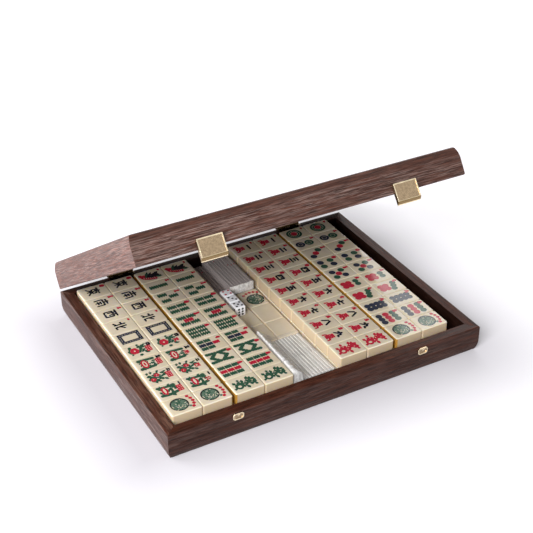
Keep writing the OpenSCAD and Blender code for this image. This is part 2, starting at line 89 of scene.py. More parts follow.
# %% [markdown]
# ## The camera
# The photograph is taken from the front left and from above, with a long lens. A camera in
# Blender looks along its own -Z with +Y up, so three directions make its turn: to its right,
# up, and back from what it looks at. A long lens keeps the far edge of the case nearly as
# large as the near one, which is what makes the picture look like a catalogue shot.

# %% Camera
IMAGE_PX = 533
FOCAL_PX = 1175.86
SENSOR_MM = 36
camera_place = Vector((-0.46930, -0.85097, 0.69242))
yaw, pitch, roll = (math.radians(a) for a in (28.953, 32.322, -0.148))

ahead = Vector((
    math.sin(yaw) * math.cos(pitch), math.cos(yaw) * math.cos(pitch), -math.sin(pitch),
))
sideways = Vector((math.cos(yaw), -math.sin(yaw), 0))
upright = sideways.cross(ahead)
right = math.cos(roll) * sideways + math.sin(roll) * upright
up = right.cross(ahead)

camera = bpy.data.objects.new("camera", bpy.data.cameras.new("camera"))
camera.data.sensor_width = SENSOR_MM
camera.data.lens = FOCAL_PX / IMAGE_PX * SENSOR_MM
camera.data.clip_start = 0.05
camera.data.clip_end = 50
turn = Matrix((right, up, -ahead)).transposed().to_4x4()
camera.matrix_world = Matrix.Translation(camera_place) @ turn
bpy.context.scene.collection.objects.link(camera)
bpy.context.scene.camera = camera
print("lens in mm:", round(camera.data.lens, 2))

# %% [markdown]
# ## A notebook of shader nodes
# Every finish here is a small tree of shader nodes. Writing each tree out link by link hides
# what it says, so this helper adds one node, fills in its sockets and links whatever other
# node is given to it. A constant stays on the shader's own socket.


# %% A finish made of nodes
class Finish:
    """A material that is built node by node round one Principled shader."""

    def __init__(self, name):
        self.material = bpy.data.materials.new(name)
        self.material.use_nodes = True
        self.tree = self.material.node_tree
        self.shader = self.tree.nodes["Principled BSDF"]

    def add(self, kind, inputs=None, **settings):
        """Adds a node; settings are its properties, and inputs its sockets by name or number."""
        node = self.tree.nodes.new(kind)
        for key, value in settings.items():
            setattr(node, key, value)
        for key, value in (inputs or {}).items():
            self.feed(node, key, value)
        return node

    def feed(self, node, key, value):
        """Sets a socket to a value, or links it to another node's output."""
        if isinstance(value, bpy.types.NodeSocket):
            self.tree.links.new(value, node.inputs[key])
        elif isinstance(value, bpy.types.Node):
            self.tree.links.new(value.outputs[0], node.inputs[key])
        else:
            node.inputs[key].default_value = value

    def shade(self, **inputs):
        """Sets or links the shader's own sockets, with underscores for the spaces in a name."""
        for key, value in inputs.items():
            self.feed(self.shader, key.replace("_", " "), value)

    def coordinates(self, turn=(0, 0, 0), stretch=(1, 1, 1), place=(0, 0, 0)):
        """The piece's own coordinates in metres, turned, moved and then stretched."""
        here = self.add("ShaderNodeTexCoord").outputs["Object"]
        turned = self.add("ShaderNodeMapping", {0: here, "Location": place, "Rotation": turn})
        return self.add("ShaderNodeMapping", {0: turned, "Scale": stretch})

    def noise(self, where, scale, detail=2.0, roughness=0.5, distortion=0.0):
        """Cloudy values in 0..1; scale is how many clouds fit into a metre."""
        inputs = {"Vector": where, "Scale": scale, "Detail": detail}
        inputs.update({"Roughness": roughness, "Distortion": distortion})
        return self.add("ShaderNodeTexNoise", inputs).outputs["Fac"]

    def levels(self, value, low, high, to_low=0.0, to_high=1.0):
        """Maps low..high to to_low..to_high and holds it there."""
        inputs = {0: value, 1: low, 2: high, 3: to_low, 4: to_high}
        return self.add("ShaderNodeMapRange", inputs)

    def mix(self, share, a, b, blend="MIX"):
        """Mixes two colours by a share."""
        node = self.add("ShaderNodeMix", data_type="RGBA", blend_type=blend)
        # A Mix node has sockets for every kind of value: 0 is the share, 6 and 7 are colours
        for socket, value in zip((0, 6, 7), (share, a, b)):
            self.feed(node, socket, value if not isinstance(value, tuple) else (*value, 1))
        return node.outputs[2]

    def bump(self, height, strength, distance):
        """Lets the light see a relief of this height in metres, drawn by a node's values."""
        inputs = {"Height": height, "Strength": strength, "Distance": distance}
        self.shade(Normal=self.add("ShaderNodeBump", inputs))


def dress(obj, finish):
    """Gives a piece this finish all over."""
    obj.data.materials.clear()
    obj.data.materials.append(finish.material)


print("helpers ready for", len(nodes), "packed pieces")

# %% [markdown]
# ## Walnut
# The case is a dark, open-grained walnut under a satin lacquer. What the eye reads as wood is
# three things at once: broad light and dark bands, fine lines inside them, and short dark
# pores that the lacquer doesn't quite fill. All three are the same noise, drawn out along the
# grain by a different amount. The pale streaks are both the wood's figure and painted glints
# of the lacquer, and single boards are made lighter as painted light or darker as painted
# shade. The grain runs along each board, so the front and back boards take it along X and the
# end boards along Y. The lid stands open, so its boards first turn their coordinates back by
# the lid's angle, and the grain stays true to the board.

# %% Walnut colours and the lid's turn
DARK_WALNUT = (0.022, 0.0062, 0.0032)
MID_WALNUT = (0.080, 0.028, 0.0175)
# Pale streaks: the wood's figure and painted glints of the satin lacquer
PALE_GRAIN_AND_GLINT = (0.250, 0.172, 0.150)
PORE = (0.010, 0.004, 0.003)
# What the colour of the base boards' upward faces, their rims, is multiplied by: redder and darker
RIM_TOP_TINT = (1.0, 0.76, 0.62)
ALONG = {"X": (1, 0, 0), "Y": (0, 1, 0)}

lid_hinge = next(j for j in frame["joints"] if j["name"] == "lid_hinge")
lid_angle = -math.radians(lid_hinge["range_deg"][0])
_, hinge_y, hinge_z = lid_hinge["pos_m"]
# The height of the lid's rim once the coordinates are turned back by the lid's angle
turned_rim = hinge_y * math.sin(lid_angle) + hinge_z * math.cos(lid_angle)
# Where the base's inner faces stand, to the right and at the back
hollow_half = (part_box("base_right_wall")[0].x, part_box("base_back_wall")[0].y)
print("lid stands open by", round(math.degrees(lid_angle), 2), "degrees")


# %% The walnut finish
def toned(colour, share):
    """The same colour, lighter or darker."""
    return tuple(min(1, share * c) for c in colour)


def walnut(
    name, grain, tilt=0.0, seed=0.0, tone=1.0, pale=0.4, shine=0.22, fine=1.0,
    plain_from=None, inside=None,
):
    """Satin walnut whose grain runs along "X" or "Y" of a board that is tilted about X.

    tone lightens or darkens the whole board, which on single boards is painted light and shade.
    pale is how strong its pale streaks are, the wood's figure and painted glints of the lacquer,
    and fine draws the figure closer. From the height plain_from, in the board's own turned
    coordinates, it has hardly any streaks. inside multiplies each colour of the faces that look
    into the case, as painted shade where it darkens them; the seed picks another piece of the
    same wood.
    """
    wood = Finish(name)
    turn = (tilt, 0, 0)
    place = (seed, 0.37 * seed, 0.71 * seed)

    def figure(across, **settings):
        """Noise that is drawn out along the grain by this factor."""
        stretch = [1 if a else across for a in ALONG[grain]]
        return wood.noise(wood.coordinates(turn, stretch, place), **settings)

    bands = figure(6, scale=9, detail=3, roughness=0.55, distortion=0.6)
    fibres = figure(16, scale=30 * fine, detail=4, roughness=0.65, distortion=0.5)
    streaks = figure(17 * fine, scale=36, detail=4, roughness=0.68, distortion=0.6)
    holes = figure(16 * fine, scale=60, detail=2, roughness=0.6, distortion=0.3)
    pores = wood.levels(holes, 0.53, 0.64)
    base = wood.mix(
        wood.levels(fibres, 0.36, 0.62), toned(DARK_WALNUT, tone), toned(MID_WALNUT, tone)
    )
    streaked = wood.levels(streaks, 0.44, 0.62)
    where_pale = wood.levels(bands, 0.36, 0.56, 0.35 * pale, pale)
    share = wood.add("ShaderNodeMath", {0: streaked, 1: where_pale}, operation="MULTIPLY")
    if plain_from is not None:
        height = wood.add("ShaderNodeSeparateXYZ", {0: wood.coordinates(turn)}).outputs["Z"]
        plain = wood.levels(height, plain_from - 3 * MM, plain_from, 1.0, 0.15)
        share = wood.add("ShaderNodeMath", {0: share, 1: plain}, operation="MULTIPLY")
    # The pale streaks, figure and painted glints, go over the base colour
    colour = wood.mix(share, base, toned(PALE_GRAIN_AND_GLINT, tone))
    colour = wood.mix(wood.levels(pores, 0, 1, 0, 0.72), colour, toned(PORE, tone))
    if inside:
        # Upward faces, the rims, are made redder and darker
        facing = wood.add("ShaderNodeTexCoord").outputs["Normal"]
        upward = wood.add("ShaderNodeSeparateXYZ", {0: facing}).outputs["Z"]
        colour = wood.mix(wood.levels(upward, 0.6, 0.9), colour, RIM_TOP_TINT, "MULTIPLY")
        # Faces that look into the case are multiplied by inside, as painted shade where it darkens
        # them
        outward = wood.add("ShaderNodeVectorMath", {0: wood.coordinates()}, operation="ABSOLUTE")
        reach = wood.add("ShaderNodeSeparateXYZ", {0: outward}).outputs
        beyond = [
            wood.add("ShaderNodeMath", {0: reach[k], 1: hollow_half[k]}, operation="SUBTRACT")
            for k in (0, 1)
        ]
        outer = wood.add("ShaderNodeMath", {0: beyond[0], 1: beyond[1]}, operation="MAXIMUM")
        hollow = wood.levels(outer, 0.2 * MM, 0.6 * MM, 1, 0)
        colour = wood.mix(hollow, colour, inside, "MULTIPLY")
    wood.shade(
        Base_Color=colour,
        Roughness=wood.levels(fibres, 0.3, 0.7, 0.38, 0.54),
        IOR=1.5,
        Specular_IOR_Level=shine,
    )
    wood.bump(wood.levels(pores, 0, 1, 1, 0), 0.5, 0.2 * MM)
    return wood


print("grain can run along", " or ".join(ALONG))

# %% Walnut boards
BOARD_GRAIN = {"front": "X", "back": "X", "left": "Y", "right": "Y"}
# The lid's front board is plain from this height above its rim
PLAIN_BAND = 22.5 * MM
# What sets single boards apart from the rest: a tone above 1 is painted light, as on the lid's
# boards, and below 1 painted shade; inside darkens the right and back boards' inner faces as
# painted shade
BOARD_LOOKS_AND_PAINTED_LIGHT = {
    "lid_front": {
        "tone": 1.2, "pale": 0.9, "shine": 0.25, "fine": 1.4,
        "plain_from": turned_rim + PLAIN_BAND,
    },
    "lid_left": {"tone": 1.95, "pale": 0.42, "shine": 0.35, "fine": 2.0},
    "lid_right": {"tone": 1.5, "pale": 0.6, "shine": 0.3, "fine": 1.5},
    "base_left": {"pale": 0.6, "shine": 0.3, "inside": (1.5, 0.95, 0.5)},
    "base_front": {"tone": 0.92, "pale": 0.25, "shine": 0.16, "inside": (0.8, 0.6, 0.5)},
    "base_right": {"tone": 0.9, "pale": 0.25, "shine": 0.1, "inside": (0.32, 0.3, 0.3)},
    "base_back": {"tone": 0.6, "pale": 0.15, "shine": 0.05, "inside": (0.2, 0.18, 0.18)},
}
for part, tilt in (("base", 0.0), ("lid", lid_angle)):
    for number, (side, grain) in enumerate(BOARD_GRAIN.items()):
        # Each board takes its painted light and shade from here
        look = BOARD_LOOKS_AND_PAINTED_LIGHT.get(f"{part}_{side}", {})
        board = walnut(f"walnut {part} {side}", grain, tilt, number + tilt, **look)
        dress(nodes[f"{part}_{side}_wall"], board)
floor_walnut = walnut("walnut floor", "X", seed=5.3, tone=0.8, pale=0.2)
dress(nodes["base_floor_panel"], floor_walnut)
dress(nodes["lid_top_panel"], walnut("walnut lid top", "X", lid_angle, seed=6.1, pale=0.8))
print("walnut finishes:", sum(1 for m in bpy.data.materials if m.name.startswith("walnut")))

# %% [markdown]
# ## Eased edges
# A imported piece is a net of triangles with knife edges, and no real board or brass plate has
# one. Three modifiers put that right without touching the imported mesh: Weld joins the
# triangles' corners, Decimate melts flat triangles back into whole faces, and Bevel rounds
# what still turns sharply, so that each edge catches a thin line of light.

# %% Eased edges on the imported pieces
BOARD_EDGE = 0.35 * MM
PLATE_EDGE = 0.12 * MM
CATCH_EDGE = 0.15 * MM
# Triangles that lie this flat to each other melt together, and edges from this angle are eased
FLAT_WITHIN = math.radians(0.5)
SHARP_FROM = math.radians(30)


def ease(node, width):
    """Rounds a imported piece's sharp edges with modifiers."""
    obj = nodes[node]
    weld = obj.modifiers.new("weld", "WELD")
    weld.merge_threshold = 0.002 * MM
    flat = obj.modifiers.new("whole faces", "DECIMATE")
    flat.decimate_type = "DISSOLVE"
    flat.angle_limit = FLAT_WITHIN
    bevel = obj.modifiers.new("eased edge", "BEVEL")
    bevel.width = width
    bevel.segments = 2
    bevel.limit_method = "ANGLE"
    bevel.angle_limit = SHARP_FROM
    bevel.harden_normals = True
    normals = obj.modifiers.new("even shading", "WEIGHTED_NORMAL")
    normals.keep_sharp = True


for part in ("base", "lid"):
    for side in BOARD_GRAIN:
        ease(f"{part}_{side}_wall", BOARD_EDGE)
print("eased boards:", 2 * len(BOARD_GRAIN))

# %% [markdown]
# ## Brass
# Hinges, latches and catches are pressed from brass sheet. Polished metal shows what is round
# it and hardly any colour of its own, so its finish is a warm metal with a roughness that
# varies a little, and a fine bump that stands for the rolled sheet. The latch faces are
# satin, while their borders and the catches' rims are buffed bright. The hinges' brass is
# painted dark as painted shade under the lid, and a band of each latch's lip as well.

# %% The brass finish
SATIN_BRASS = (0.40, 0.295, 0.185)
SHADED_BRASS = (0.27, 0.185, 0.09)
BRIGHT_BRASS = (0.95, 0.80, 0.55)
PLAIN_BRASS = (0.62, 0.46, 0.24)
# Dark brass for the hinges is painted shade, for they lie under the open lid
HINGE_SHADE_BRASS = (0.12, 0.078, 0.036)


def brass(name, colour, low, high, bump, scale=900, face=None, lip=None):
    """Brass sheet whose roughness lies between low and high.

    face is a turn about X and a Y: of the turned sheet, what lies deeper than that Y is satin.
    lip is the two turned heights between which the sheet slopes away and is painted darker, as
    painted shade.
    """
    metal = Finish(name)
    where = metal.coordinates()
    grain = metal.noise(where, scale, 3, 0.6)
    tarnish = metal.noise(where, 160, 3, 0.6)
    tone = metal.mix(metal.levels(tarnish, 0.35, 0.7), colour, toned(colour, 0.7))
    roughness = metal.levels(grain, 0.3, 0.7, low, high)
    if face:
        turn, face_y = face
        turned = metal.coordinates((turn, 0, 0))
        depth, height = metal.add("ShaderNodeSeparateXYZ", {0: turned}).outputs[1:]
        raised = metal.levels(depth, face_y - 0.04 * MM, face_y + 0.04 * MM, 1, 0)
        speckle = metal.levels(grain, 0.3, 0.7)
        satin = metal.mix(speckle, toned(SATIN_BRASS, 0.78), toned(SATIN_BRASS, 1.2))
        tone = metal.mix(raised, satin, tone)
        if lip:
            end, start = lip
            below_start = metal.levels(height, start - 0.1 * MM, start, 1, 0)
            below_end = metal.levels(height, end - 0.1 * MM, end, 1, 0)
            tone = metal.mix(below_end, metal.mix(below_start, tone, SHADED_BRASS), colour)
    metal.shade(Base_Color=tone, Metallic=1.0, Roughness=roughness)
    metal.bump(grain, bump, 0.1 * MM)
    return metal


print("brass at its brightest and darkest:", BRIGHT_BRASS, HINGE_SHADE_BRASS)

# %% Where the latch and catch faces lie
# A flap hangs this far off the lid's board; its border stands this high round the field
FLAP_STANDS_OFF = math.radians(4)
FLAP_BORDER = 0.35 * MM
flap_turn = lid_angle + FLAP_STANDS_OFF


def turned_points(node, turn):
    """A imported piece's points, turned back about X so that its face stands upright."""
    back = Matrix.Rotation(turn, 3, "X")
    return [back @ corner.co for corner in nodes[node].data.vertices]


flap_points = turned_points("latch_left_flap", flap_turn)
flap_face = min(p.y for p in flap_points) + FLAP_BORDER / 2
flap_end = min(p.z for p in flap_points)
catch_face = min(p.y for p in turned_points("catch_left_plate", 0.0))
print("flap face and end in mm:", round(flap_face / MM, 2), round(flap_end / MM, 2))

# %% Brass pieces
# The flap's lip slopes away between these heights above its lower end and is painted darker there,
# as painted shade
LIP_END, LIP_START = 0.7 * MM, 3.4 * MM
# How far behind a catch's rim its satin field begins
CATCH_RIM = 0.5 * MM
# The hinges take the dark brass of painted shade
hinge_brass = brass("hinge brass", HINGE_SHADE_BRASS, low=0.20, high=0.30, bump=0.10)
latch_brass = brass(
    "latch brass", BRIGHT_BRASS, low=0.22, high=0.32, bump=0.15, scale=500,
    face=(flap_turn, flap_face), lip=(flap_end + LIP_END, flap_end + LIP_START),
)
plain_brass = brass("inner brass", PLAIN_BRASS, low=0.26, high=0.40, bump=0.2)
catch_brass = brass(
    "catch brass", BRIGHT_BRASS, low=0.16, high=0.28, bump=0.10, face=(0.0, catch_face + CATCH_RIM)
)
for name in nodes:
    if "hinge" in name:
        dress(nodes[name], hinge_brass)
    elif "latch" in name:
        dress(nodes[name], latch_brass if "flap" in name else plain_brass)
    elif "catch" in name:
        dress(nodes[name], catch_brass)
for side in ("left", "right"):
    ease(f"latch_{side}_flap", PLATE_EDGE)
    ease(f"catch_{side}_plate", CATCH_EDGE)
    ease(f"hinge_{side}_base_leaf", PLATE_EDGE)
    ease(f"hinge_{side}_lid_leaf", PLATE_EDGE)
print("brass pieces:", sum(1 for n in nodes if "hinge" in n or "latch" in n or "catch" in n))

# %% [markdown]
# ## Shapes from points
# Tiles, dice and sticks repeat by the dozen, so they aren't modelled one object at a time.
# Points and faces are gathered in millimetres, each face with the number of its paint, and at
# the end the whole group becomes one mesh. Its normals are weighted by area, so the flat
# faces stay flat and only the narrow rounded edges shade from one side to the next.


# %% A shape that becomes one mesh
def in_scene(name, mesh):
    """Puts a mesh into the scene as an object of that name."""
    obj = bpy.data.objects.new(name, mesh)
    bpy.context.scene.collection.objects.link(obj)
    return obj


def shade_evenly(obj, angle):
    """Smooth shading with sharp edges past an angle, weighted by the faces' areas."""
    obj.data.polygons.foreach_set("use_smooth", [True] * len(obj.data.polygons))
    obj.data.set_sharp_from_angle(angle=math.radians(angle))
    normals = obj.modifiers.new("even shading", "WEIGHTED_NORMAL")
    normals.keep_sharp = True


class Shape:
    """Points and faces in millimetres, gathered before they become one mesh."""

    def __init__(self):
        self.points = []
        self.faces = []
        self.paints = []

    def add(self, points, faces, paint=0):
        """Adds faces by the numbers of their points, with one paint or a list of paints."""
        first = len(self.points)
        self.points += [tuple(p) for p in points]
        self.faces += [tuple(first + i for i in face) for face in faces]
        self.paints += [paint] * len(faces) if isinstance(paint, int) else list(paint)

    def merge(self, other, place=None):
        """Adds another shape, moved or turned by a matrix."""
        place = place or Matrix.Identity(4)
        self.add([place @ Vector(p) for p in other.points], other.faces, other.paints)

    def build(self, name, slot, finishes, stands_for, angle=40):
        """Makes the piece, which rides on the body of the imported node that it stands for."""
        mesh = bpy.data.meshes.new(name)
        mesh.from_pydata([Vector(p) * MM for p in self.points], [], self.faces)
        for finish in finishes:
            mesh.materials.append(finish.material)
        mesh.polygons.foreach_set("material_index", self.paints)
        work = bmesh.new()
        work.from_mesh(mesh)
        bmesh.ops.remove_doubles(work, verts=work.verts, dist=0.0005 * MM)
        work.to_mesh(mesh)
        work.free()
        obj = in_scene(name, mesh)
        shade_evenly(obj, angle)
        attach(obj, nodes[stands_for]["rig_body"])
        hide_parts(stands_for)
        print(name, len(mesh.polygons), "faces")


print("shapes are gathered in steps of", MM, "m")

# %% [markdown]
# ## Rounded blocks
# Tiles, sticks and dice are all blocks with rounded corners. A stack of rings, each drawn in a
# little more towards the top and bottom, makes such a block's sides. Its top is left open,
# because that is where a figure may be cut in.


# %% Rings and rounded sides
def stacked(rings, paint=0):
    """Skin between rings of equally many points, from the lowest ring up."""
    shape = Shape()
    count = len(rings[0])
    faces = []
    for k in range(len(rings) - 1):
        for i in range(count):
            j = (i + 1) % count
            faces.append((k * count + i, k * count + j, (k + 1) * count + j, (k + 1) * count + i))
    shape.add([p for ring in rings for p in ring], faces, paint)
    return shape


def rounded_ring(length, width, corner, inset, height, steps=3):
    """Rectangle with round corners, drawn in by inset, at one height."""
    smallest_radius = 0.02
    radius = max(corner - inset, smallest_radius)
    corners = (
        (length - corner, width - corner), (corner, width - corner),
        (corner, corner), (length - corner, corner),
    )
    ring = []
    for quarter, (x, y) in enumerate(corners):
        for k in range(steps + 1):
            angle = math.radians(90 * (quarter + k / steps))
            ring.append((x + radius * math.cos(angle), y + radius * math.sin(angle), height))
    return ring


def rounded_sides(length, width, height, corner, edge, steps=3):
    """Rings of a block's sides, with its bottom and top edges rounded."""
    angles = [math.radians(90 * k / steps) for k in range(steps + 1)]
    low = [(edge * (1 - math.sin(a)), edge * (1 - math.cos(a))) for a in angles]
    high = [(inset, height - rise) for inset, rise in reversed(low)]
    return [rounded_ring(length, width, corner, i, z, steps) for i, z in low + high]


print("points in a ring:", len(rounded_ring(30, 23, 1.6, 0, 0)))

# %% [markdown]
# ## Engraving
# The figures on the tiles are cut about a third of a millimetre deep and filled with paint.
# A boolean cut could do this, but forty patterns with a dozen strokes each would be slow and
# fragile. Here a flat top is divided once by a constrained triangulation, which takes any
# number of overlapping outlines and says for each triangle which outlines it lies in. The
# triangles of the last outline drawn take its paint and sink, and a low wall closes each
# step. An outline with the paint BARE clears what lies under it, like a wiped place.

# %% Engraved faces
BARE, GREEN, RED, BLACK, BLUE, SAGE = range(6)
ENGRAVED = 0.2
# For the triangulation: keep what lies inside the outlines, and join points that are this close
KEEP_INSIDE = 1
JOIN_WITHIN = 1e-4


def counter_clockwise(points):
    """The same outline, turned round if it runs clockwise."""
    area = sum(a[0] * b[1] - b[0] * a[1] for a, b in zip(points, points[1:] + points[:1]))
    return points if area > 0 else points[::-1]


def engraved(outline, height, figure, depth=ENGRAVED):
    """A flat face at a height, with the figure's painted outlines sunk into it."""
    loops = [counter_clockwise([tuple(p[:2]) for p in outline])]
    loops += [counter_clockwise(points) for _, points in figure]
    paint_of = [BARE] + [paint for paint, _ in figure]
    points = [Vector(p) for loop in loops for p in loop]
    numbers, first = [], 0
    for loop in loops:
        numbers.append(list(range(first, first + len(loop))))
        first += len(loop)
    result = geometry.delaunay_2d_cdt(points, [], numbers, KEEP_INSIDE, JOIN_WITHIN)
    flat, _, faces, _, _, origins = result
    paints = [paint_of[max(origin)] for origin in origins]
    shape = Shape()
    top = [(p.x, p.y, height) for p in flat]
    sunk = [(p.x, p.y, height - depth) for p in flat]
    shift = len(top)
    placed = [
        tuple(i + shift for i in face) if paint else tuple(face)
        for face, paint in zip(faces, paints)
    ]
    level_edges = set()
    for face, paint in zip(faces, paints):
        if not paint:
            level_edges.update(zip(face, face[1:] + face[:1]))
    walls, wall_paints = [], []
    for face, paint in zip(faces, paints):
        for a, b in zip(face, face[1:] + face[:1]):
            if paint and (b, a) in level_edges:
                walls.append((a, b, b + shift, a + shift))
                wall_paints.append(paint)
    shape.add(top + sunk, placed + walls, paints + wall_paints)
    return shape


def engraved_block(length, width, height, corner, edge, figure, steps=3):
    """A rounded block whose top carries an engraved figure."""
    rings = rounded_sides(length, width, height, corner, edge, steps)
    shape = stacked(rings)
    shape.merge(engraved(rings[-1], height, figure))
    shape.add(rings[0][::-1], [range(len(rings[0]))])
    return shape


print("paints in an engraving:", SAGE, "and engraved by", ENGRAVED, "mm")

# %% [markdown]
# ## The engraver's alphabet
# Every figure is made of a few marks: a spot, a stroke with tapered ends like a brush leaves,
# a leaf, and a joint of bamboo. A tile's own measures are used: u runs along the tile from
# its left short edge, and w across it. The figures stand with their tops towards +u, and
# their right-hand sides towards -w, the way the tiles lie in the case.


# %% Spots, boxes and strokes
def spot(paint, u, w, across_u, across_w=None, sides=14):
    """Filled oval of these full measures."""
    a = across_u / 2
    b = (across_w or across_u) / 2
    turns = [2 * math.pi * (k + 0.5) / sides for k in range(sides)]
    return [(paint, [(u + a * math.cos(t), w + b * math.sin(t)) for t in turns])]


def box(paint, u, w, across_u, across_w, clip=0.0):
    """Filled rectangle about a point, with clipped corners if asked."""
    a, b = across_u / 2, across_w / 2
    outline = [
        (a - clip, -b), (a, -b + clip), (a, b - clip), (a - clip, b),
        (-a + clip, b), (-a, b - clip), (-a, -b + clip), (-a + clip, -b),
    ]
    if not clip:
        outline = [(a, -b), (a, b), (-a, b), (-a, -b)]
    return [(paint, [(u + x, w + y) for x, y in outline])]


def stroke(paint, start, end, width, taper=0.5):
    """Straight brush stroke; taper is the end's width as a share of the start's."""
    start, end = Vector(start), Vector(end)
    along = (end - start).normalized() * width / 2
    side = Vector((-along.y, along.x))
    tip = 0.6 * along
    outline = [
        start - tip, start - side, end - side * taper,
        end + tip, end + side * taper, start + side,
    ]
    return [(paint, [tuple(p) for p in outline])]


def line(paint, points, width, taper=0.8):
    """Strokes from point to point."""
    marks = []
    for start, end in zip(points, points[1:]):
        marks += stroke(paint, start, end, width, taper)
    return marks


print("sides of a spot:", len(spot(RED, 0, 0, 1)[0][1]))


# %% Leaves and written signs
def leaf(paint, u, w, length, width, turn):
    """Pointed leaf that grows from a point in a direction in degrees."""
    profile = [(0, 0), (0.3, -0.42), (0.6, -0.5), (1, 0), (0.6, 0.5), (0.3, 0.42)]
    c, s = math.cos(math.radians(turn)), math.sin(math.radians(turn))
    outline = [(x * length, y * width) for x, y in profile]
    return [(paint, [(u + x * c - y * s, w + x * s + y * c) for x, y in outline])]


def glyph(paint, strokes, u, w, high, wide, width):
    """Strokes in a square from -1 to 1, right and up, set upright on the tile."""
    marks = []
    for points in strokes:
        marks += line(paint, [(u + y * high / 2, w - x * wide / 2) for x, y in points], width)
    return marks


print("points of a leaf:", len(leaf(GREEN, 0, 0, 1, 1, 0)[0][1]))

# %% Bamboo and coins
KNUCKLE_PITCH = 2.5
BENT_KNUCKLE_PITCH = 3.2
# A coin wider than this has a fine pale ring in it
LARGE_COIN = 8


def bamboo(paint, u, w, length, width, bar):
    """A stick of bamboo: round knuckles on a bar, which is as wide as a share of them."""
    knuckles = round(length / KNUCKLE_PITCH)
    pitch = length / knuckles
    marks = box(paint, u, w, length, bar * width)
    for k in range(knuckles):
        marks += spot(paint, u + (k - (knuckles - 1) / 2) * pitch, w, pitch, 1.05 * width, 8)
    return marks


def bent_bamboo(paint, points, width):
    """Bamboo that goes from point to point, with a knuckle every few millimetres."""
    marks = line(paint, points, 0.7 * width, taper=1)
    for start, end in zip(points, points[1:]):
        reach = Vector(end) - Vector(start)
        knuckles = round(reach.length / BENT_KNUCKLE_PITCH)
        for k in range(knuckles + 1):
            marks += spot(paint, *(Vector(start) + reach * (k / knuckles)), width, sides=8)
    return marks


def coin(paint, u, w, across):
    """Round dot, with a fine pale ring in it if it is a large one."""
    marks = spot(paint, u, w, across, sides=18)
    if across > LARGE_COIN:
        marks += spot(BARE, u, w, 0.52 * across, sides=14)
        marks += spot(paint, u, w, 0.46 * across, sides=12)
    return marks


print("knuckles of a bamboo stick:", round(10 / KNUCKLE_PITCH))

# %% [markdown]
# ## The traditional faces
# The set follows the common pattern. Numbers from one to nine come in bamboo, in dots and as
# numerals over a red sign. Then there are the winds, the framed blank, the two dragons, and
# the flowers with their little seals. Eight tiles carry a round medallion; its rim has five
# plain red lozenges. A written sign is a list of strokes in a square from -1 to 1.

# %% Numerals
NUMERALS = {
    1: [[(-1, 0), (1, 0)]],
    2: [[(-0.7, 0.5), (0.7, 0.5)], [(-1, -0.6), (1, -0.6)]],
    3: [[(-0.8, 0.9), (0.8, 0.9)], [(-0.6, 0), (0.6, 0)], [(-1, -0.9), (1, -0.9)]],
    4: [[(-0.9, -0.8), (-0.9, 0.8), (0.9, 0.8), (0.9, -0.8), (-0.9, -0.8)],
        [(-0.3, 0.8), (-0.5, -0.1)], [(0.3, 0.8), (0.4, -0.1)]],
    5: [[(-0.8, 0.9), (0.8, 0.9)], [(0.0, 0.9), (-0.3, -0.8)],
        [(-0.7, 0.1), (0.6, 0.1), (0.6, -0.8)], [(-1, -0.9), (1, -0.9)]],
    6: [[(-0.1, 1), (0.2, 0.6)], [(-1, 0.25), (1, 0.25)],
        [(-0.3, -0.1), (-0.9, -1)], [(0.3, -0.1), (0.9, -1)]],
    7: [[(-1, -0.1), (1, 0.4)], [(-0.1, 1), (-0.1, -0.7), (0.9, -0.8)]],
    8: [[(-0.3, 0.8), (-1, -0.9)], [(0.1, 1), (1, -0.9)]],
    9: [[(-0.9, 0.3), (0.4, 0.4), (0.4, -0.7), (1, -0.8)], [(-0.1, 1), (-0.2, 0), (-1, -1)]],
}
print("numerals:", len(NUMERALS))

# %% Winds and the red sign
SQUARE = [(-0.8, 0.4), (0.8, 0.4), (0.8, -0.9), (-0.8, -0.9), (-0.8, 0.4)]
WINDS = [
    [[(-0.35, 1), (-0.35, -0.8)], [(-1, 0.35), (-0.35, 0.45)], [(-1, -0.8), (-0.35, -0.4)],
     [(0.3, 1), (0.3, -0.7), (1, -0.7)], [(0.3, 0), (1, 0.6)]],
    [[(-1, 0.9), (1, 0.9)], SQUARE, [(-0.3, 0.9), (-0.4, -0.4)], [(0.3, 0.9), (0.3, -0.3)]],
    [[(-0.8, 0.8), (0.8, 0.8)], [(0, 1.1), (0, 0.3)],
     [(-0.9, -1), (-0.9, 0.3), (0.9, 0.3), (0.9, -1)],
     [(-0.4, -0.15), (0.4, -0.15)], [(-0.45, -0.6), (0.45, -0.6)], [(0, -0.1), (0, -1)]],
    [[(-1, 0.8), (1, 0.8)], [(0, 1.1), (0, -1)],
     [(-0.6, 0.45), (0.6, 0.45), (0.6, -0.2), (-0.6, -0.2), (-0.6, 0.45)],
     [(-0.1, -0.3), (-1, -1)], [(0.1, -0.3), (1, -1)]],
]
RED_SIGN = [
    [(-0.6, 1), (0.6, 1)], [(-0.25, 1.15), (-0.25, 0.8)], [(0.25, 1.15), (0.25, 0.8)],
    [(-0.5, 0.6), (0.5, 0.6), (0.5, 0.05), (-0.5, 0.05), (-0.5, 0.6)], [(0, 0.6), (0, -0.5)],
    [(-1, -1), (-0.9, -0.25), (0.9, -0.25), (1, -1)], [(-0.5, -0.65), (0.5, -0.75)],
]
print("winds:", len(WINDS), "and strokes in the red sign:", len(RED_SIGN))


# %% Faces with written signs
def index_mark(number):
    """Small red corner mark, a plain little numeral."""
    return glyph(RED, NUMERALS[number], u=25.9, w=18.3, high=4.0, wide=2.6, width=2.5)


def numeral_face(number):
    """A black numeral over the red sign."""
    figure = glyph(RED, RED_SIGN, u=8.8, w=12, high=9.2, wide=10.2, width=2.3)
    figure += glyph(BLACK, NUMERALS[number], u=19.8, w=11.6, high=7.4, wide=8.8, width=2.5)
    return figure + index_mark(number)


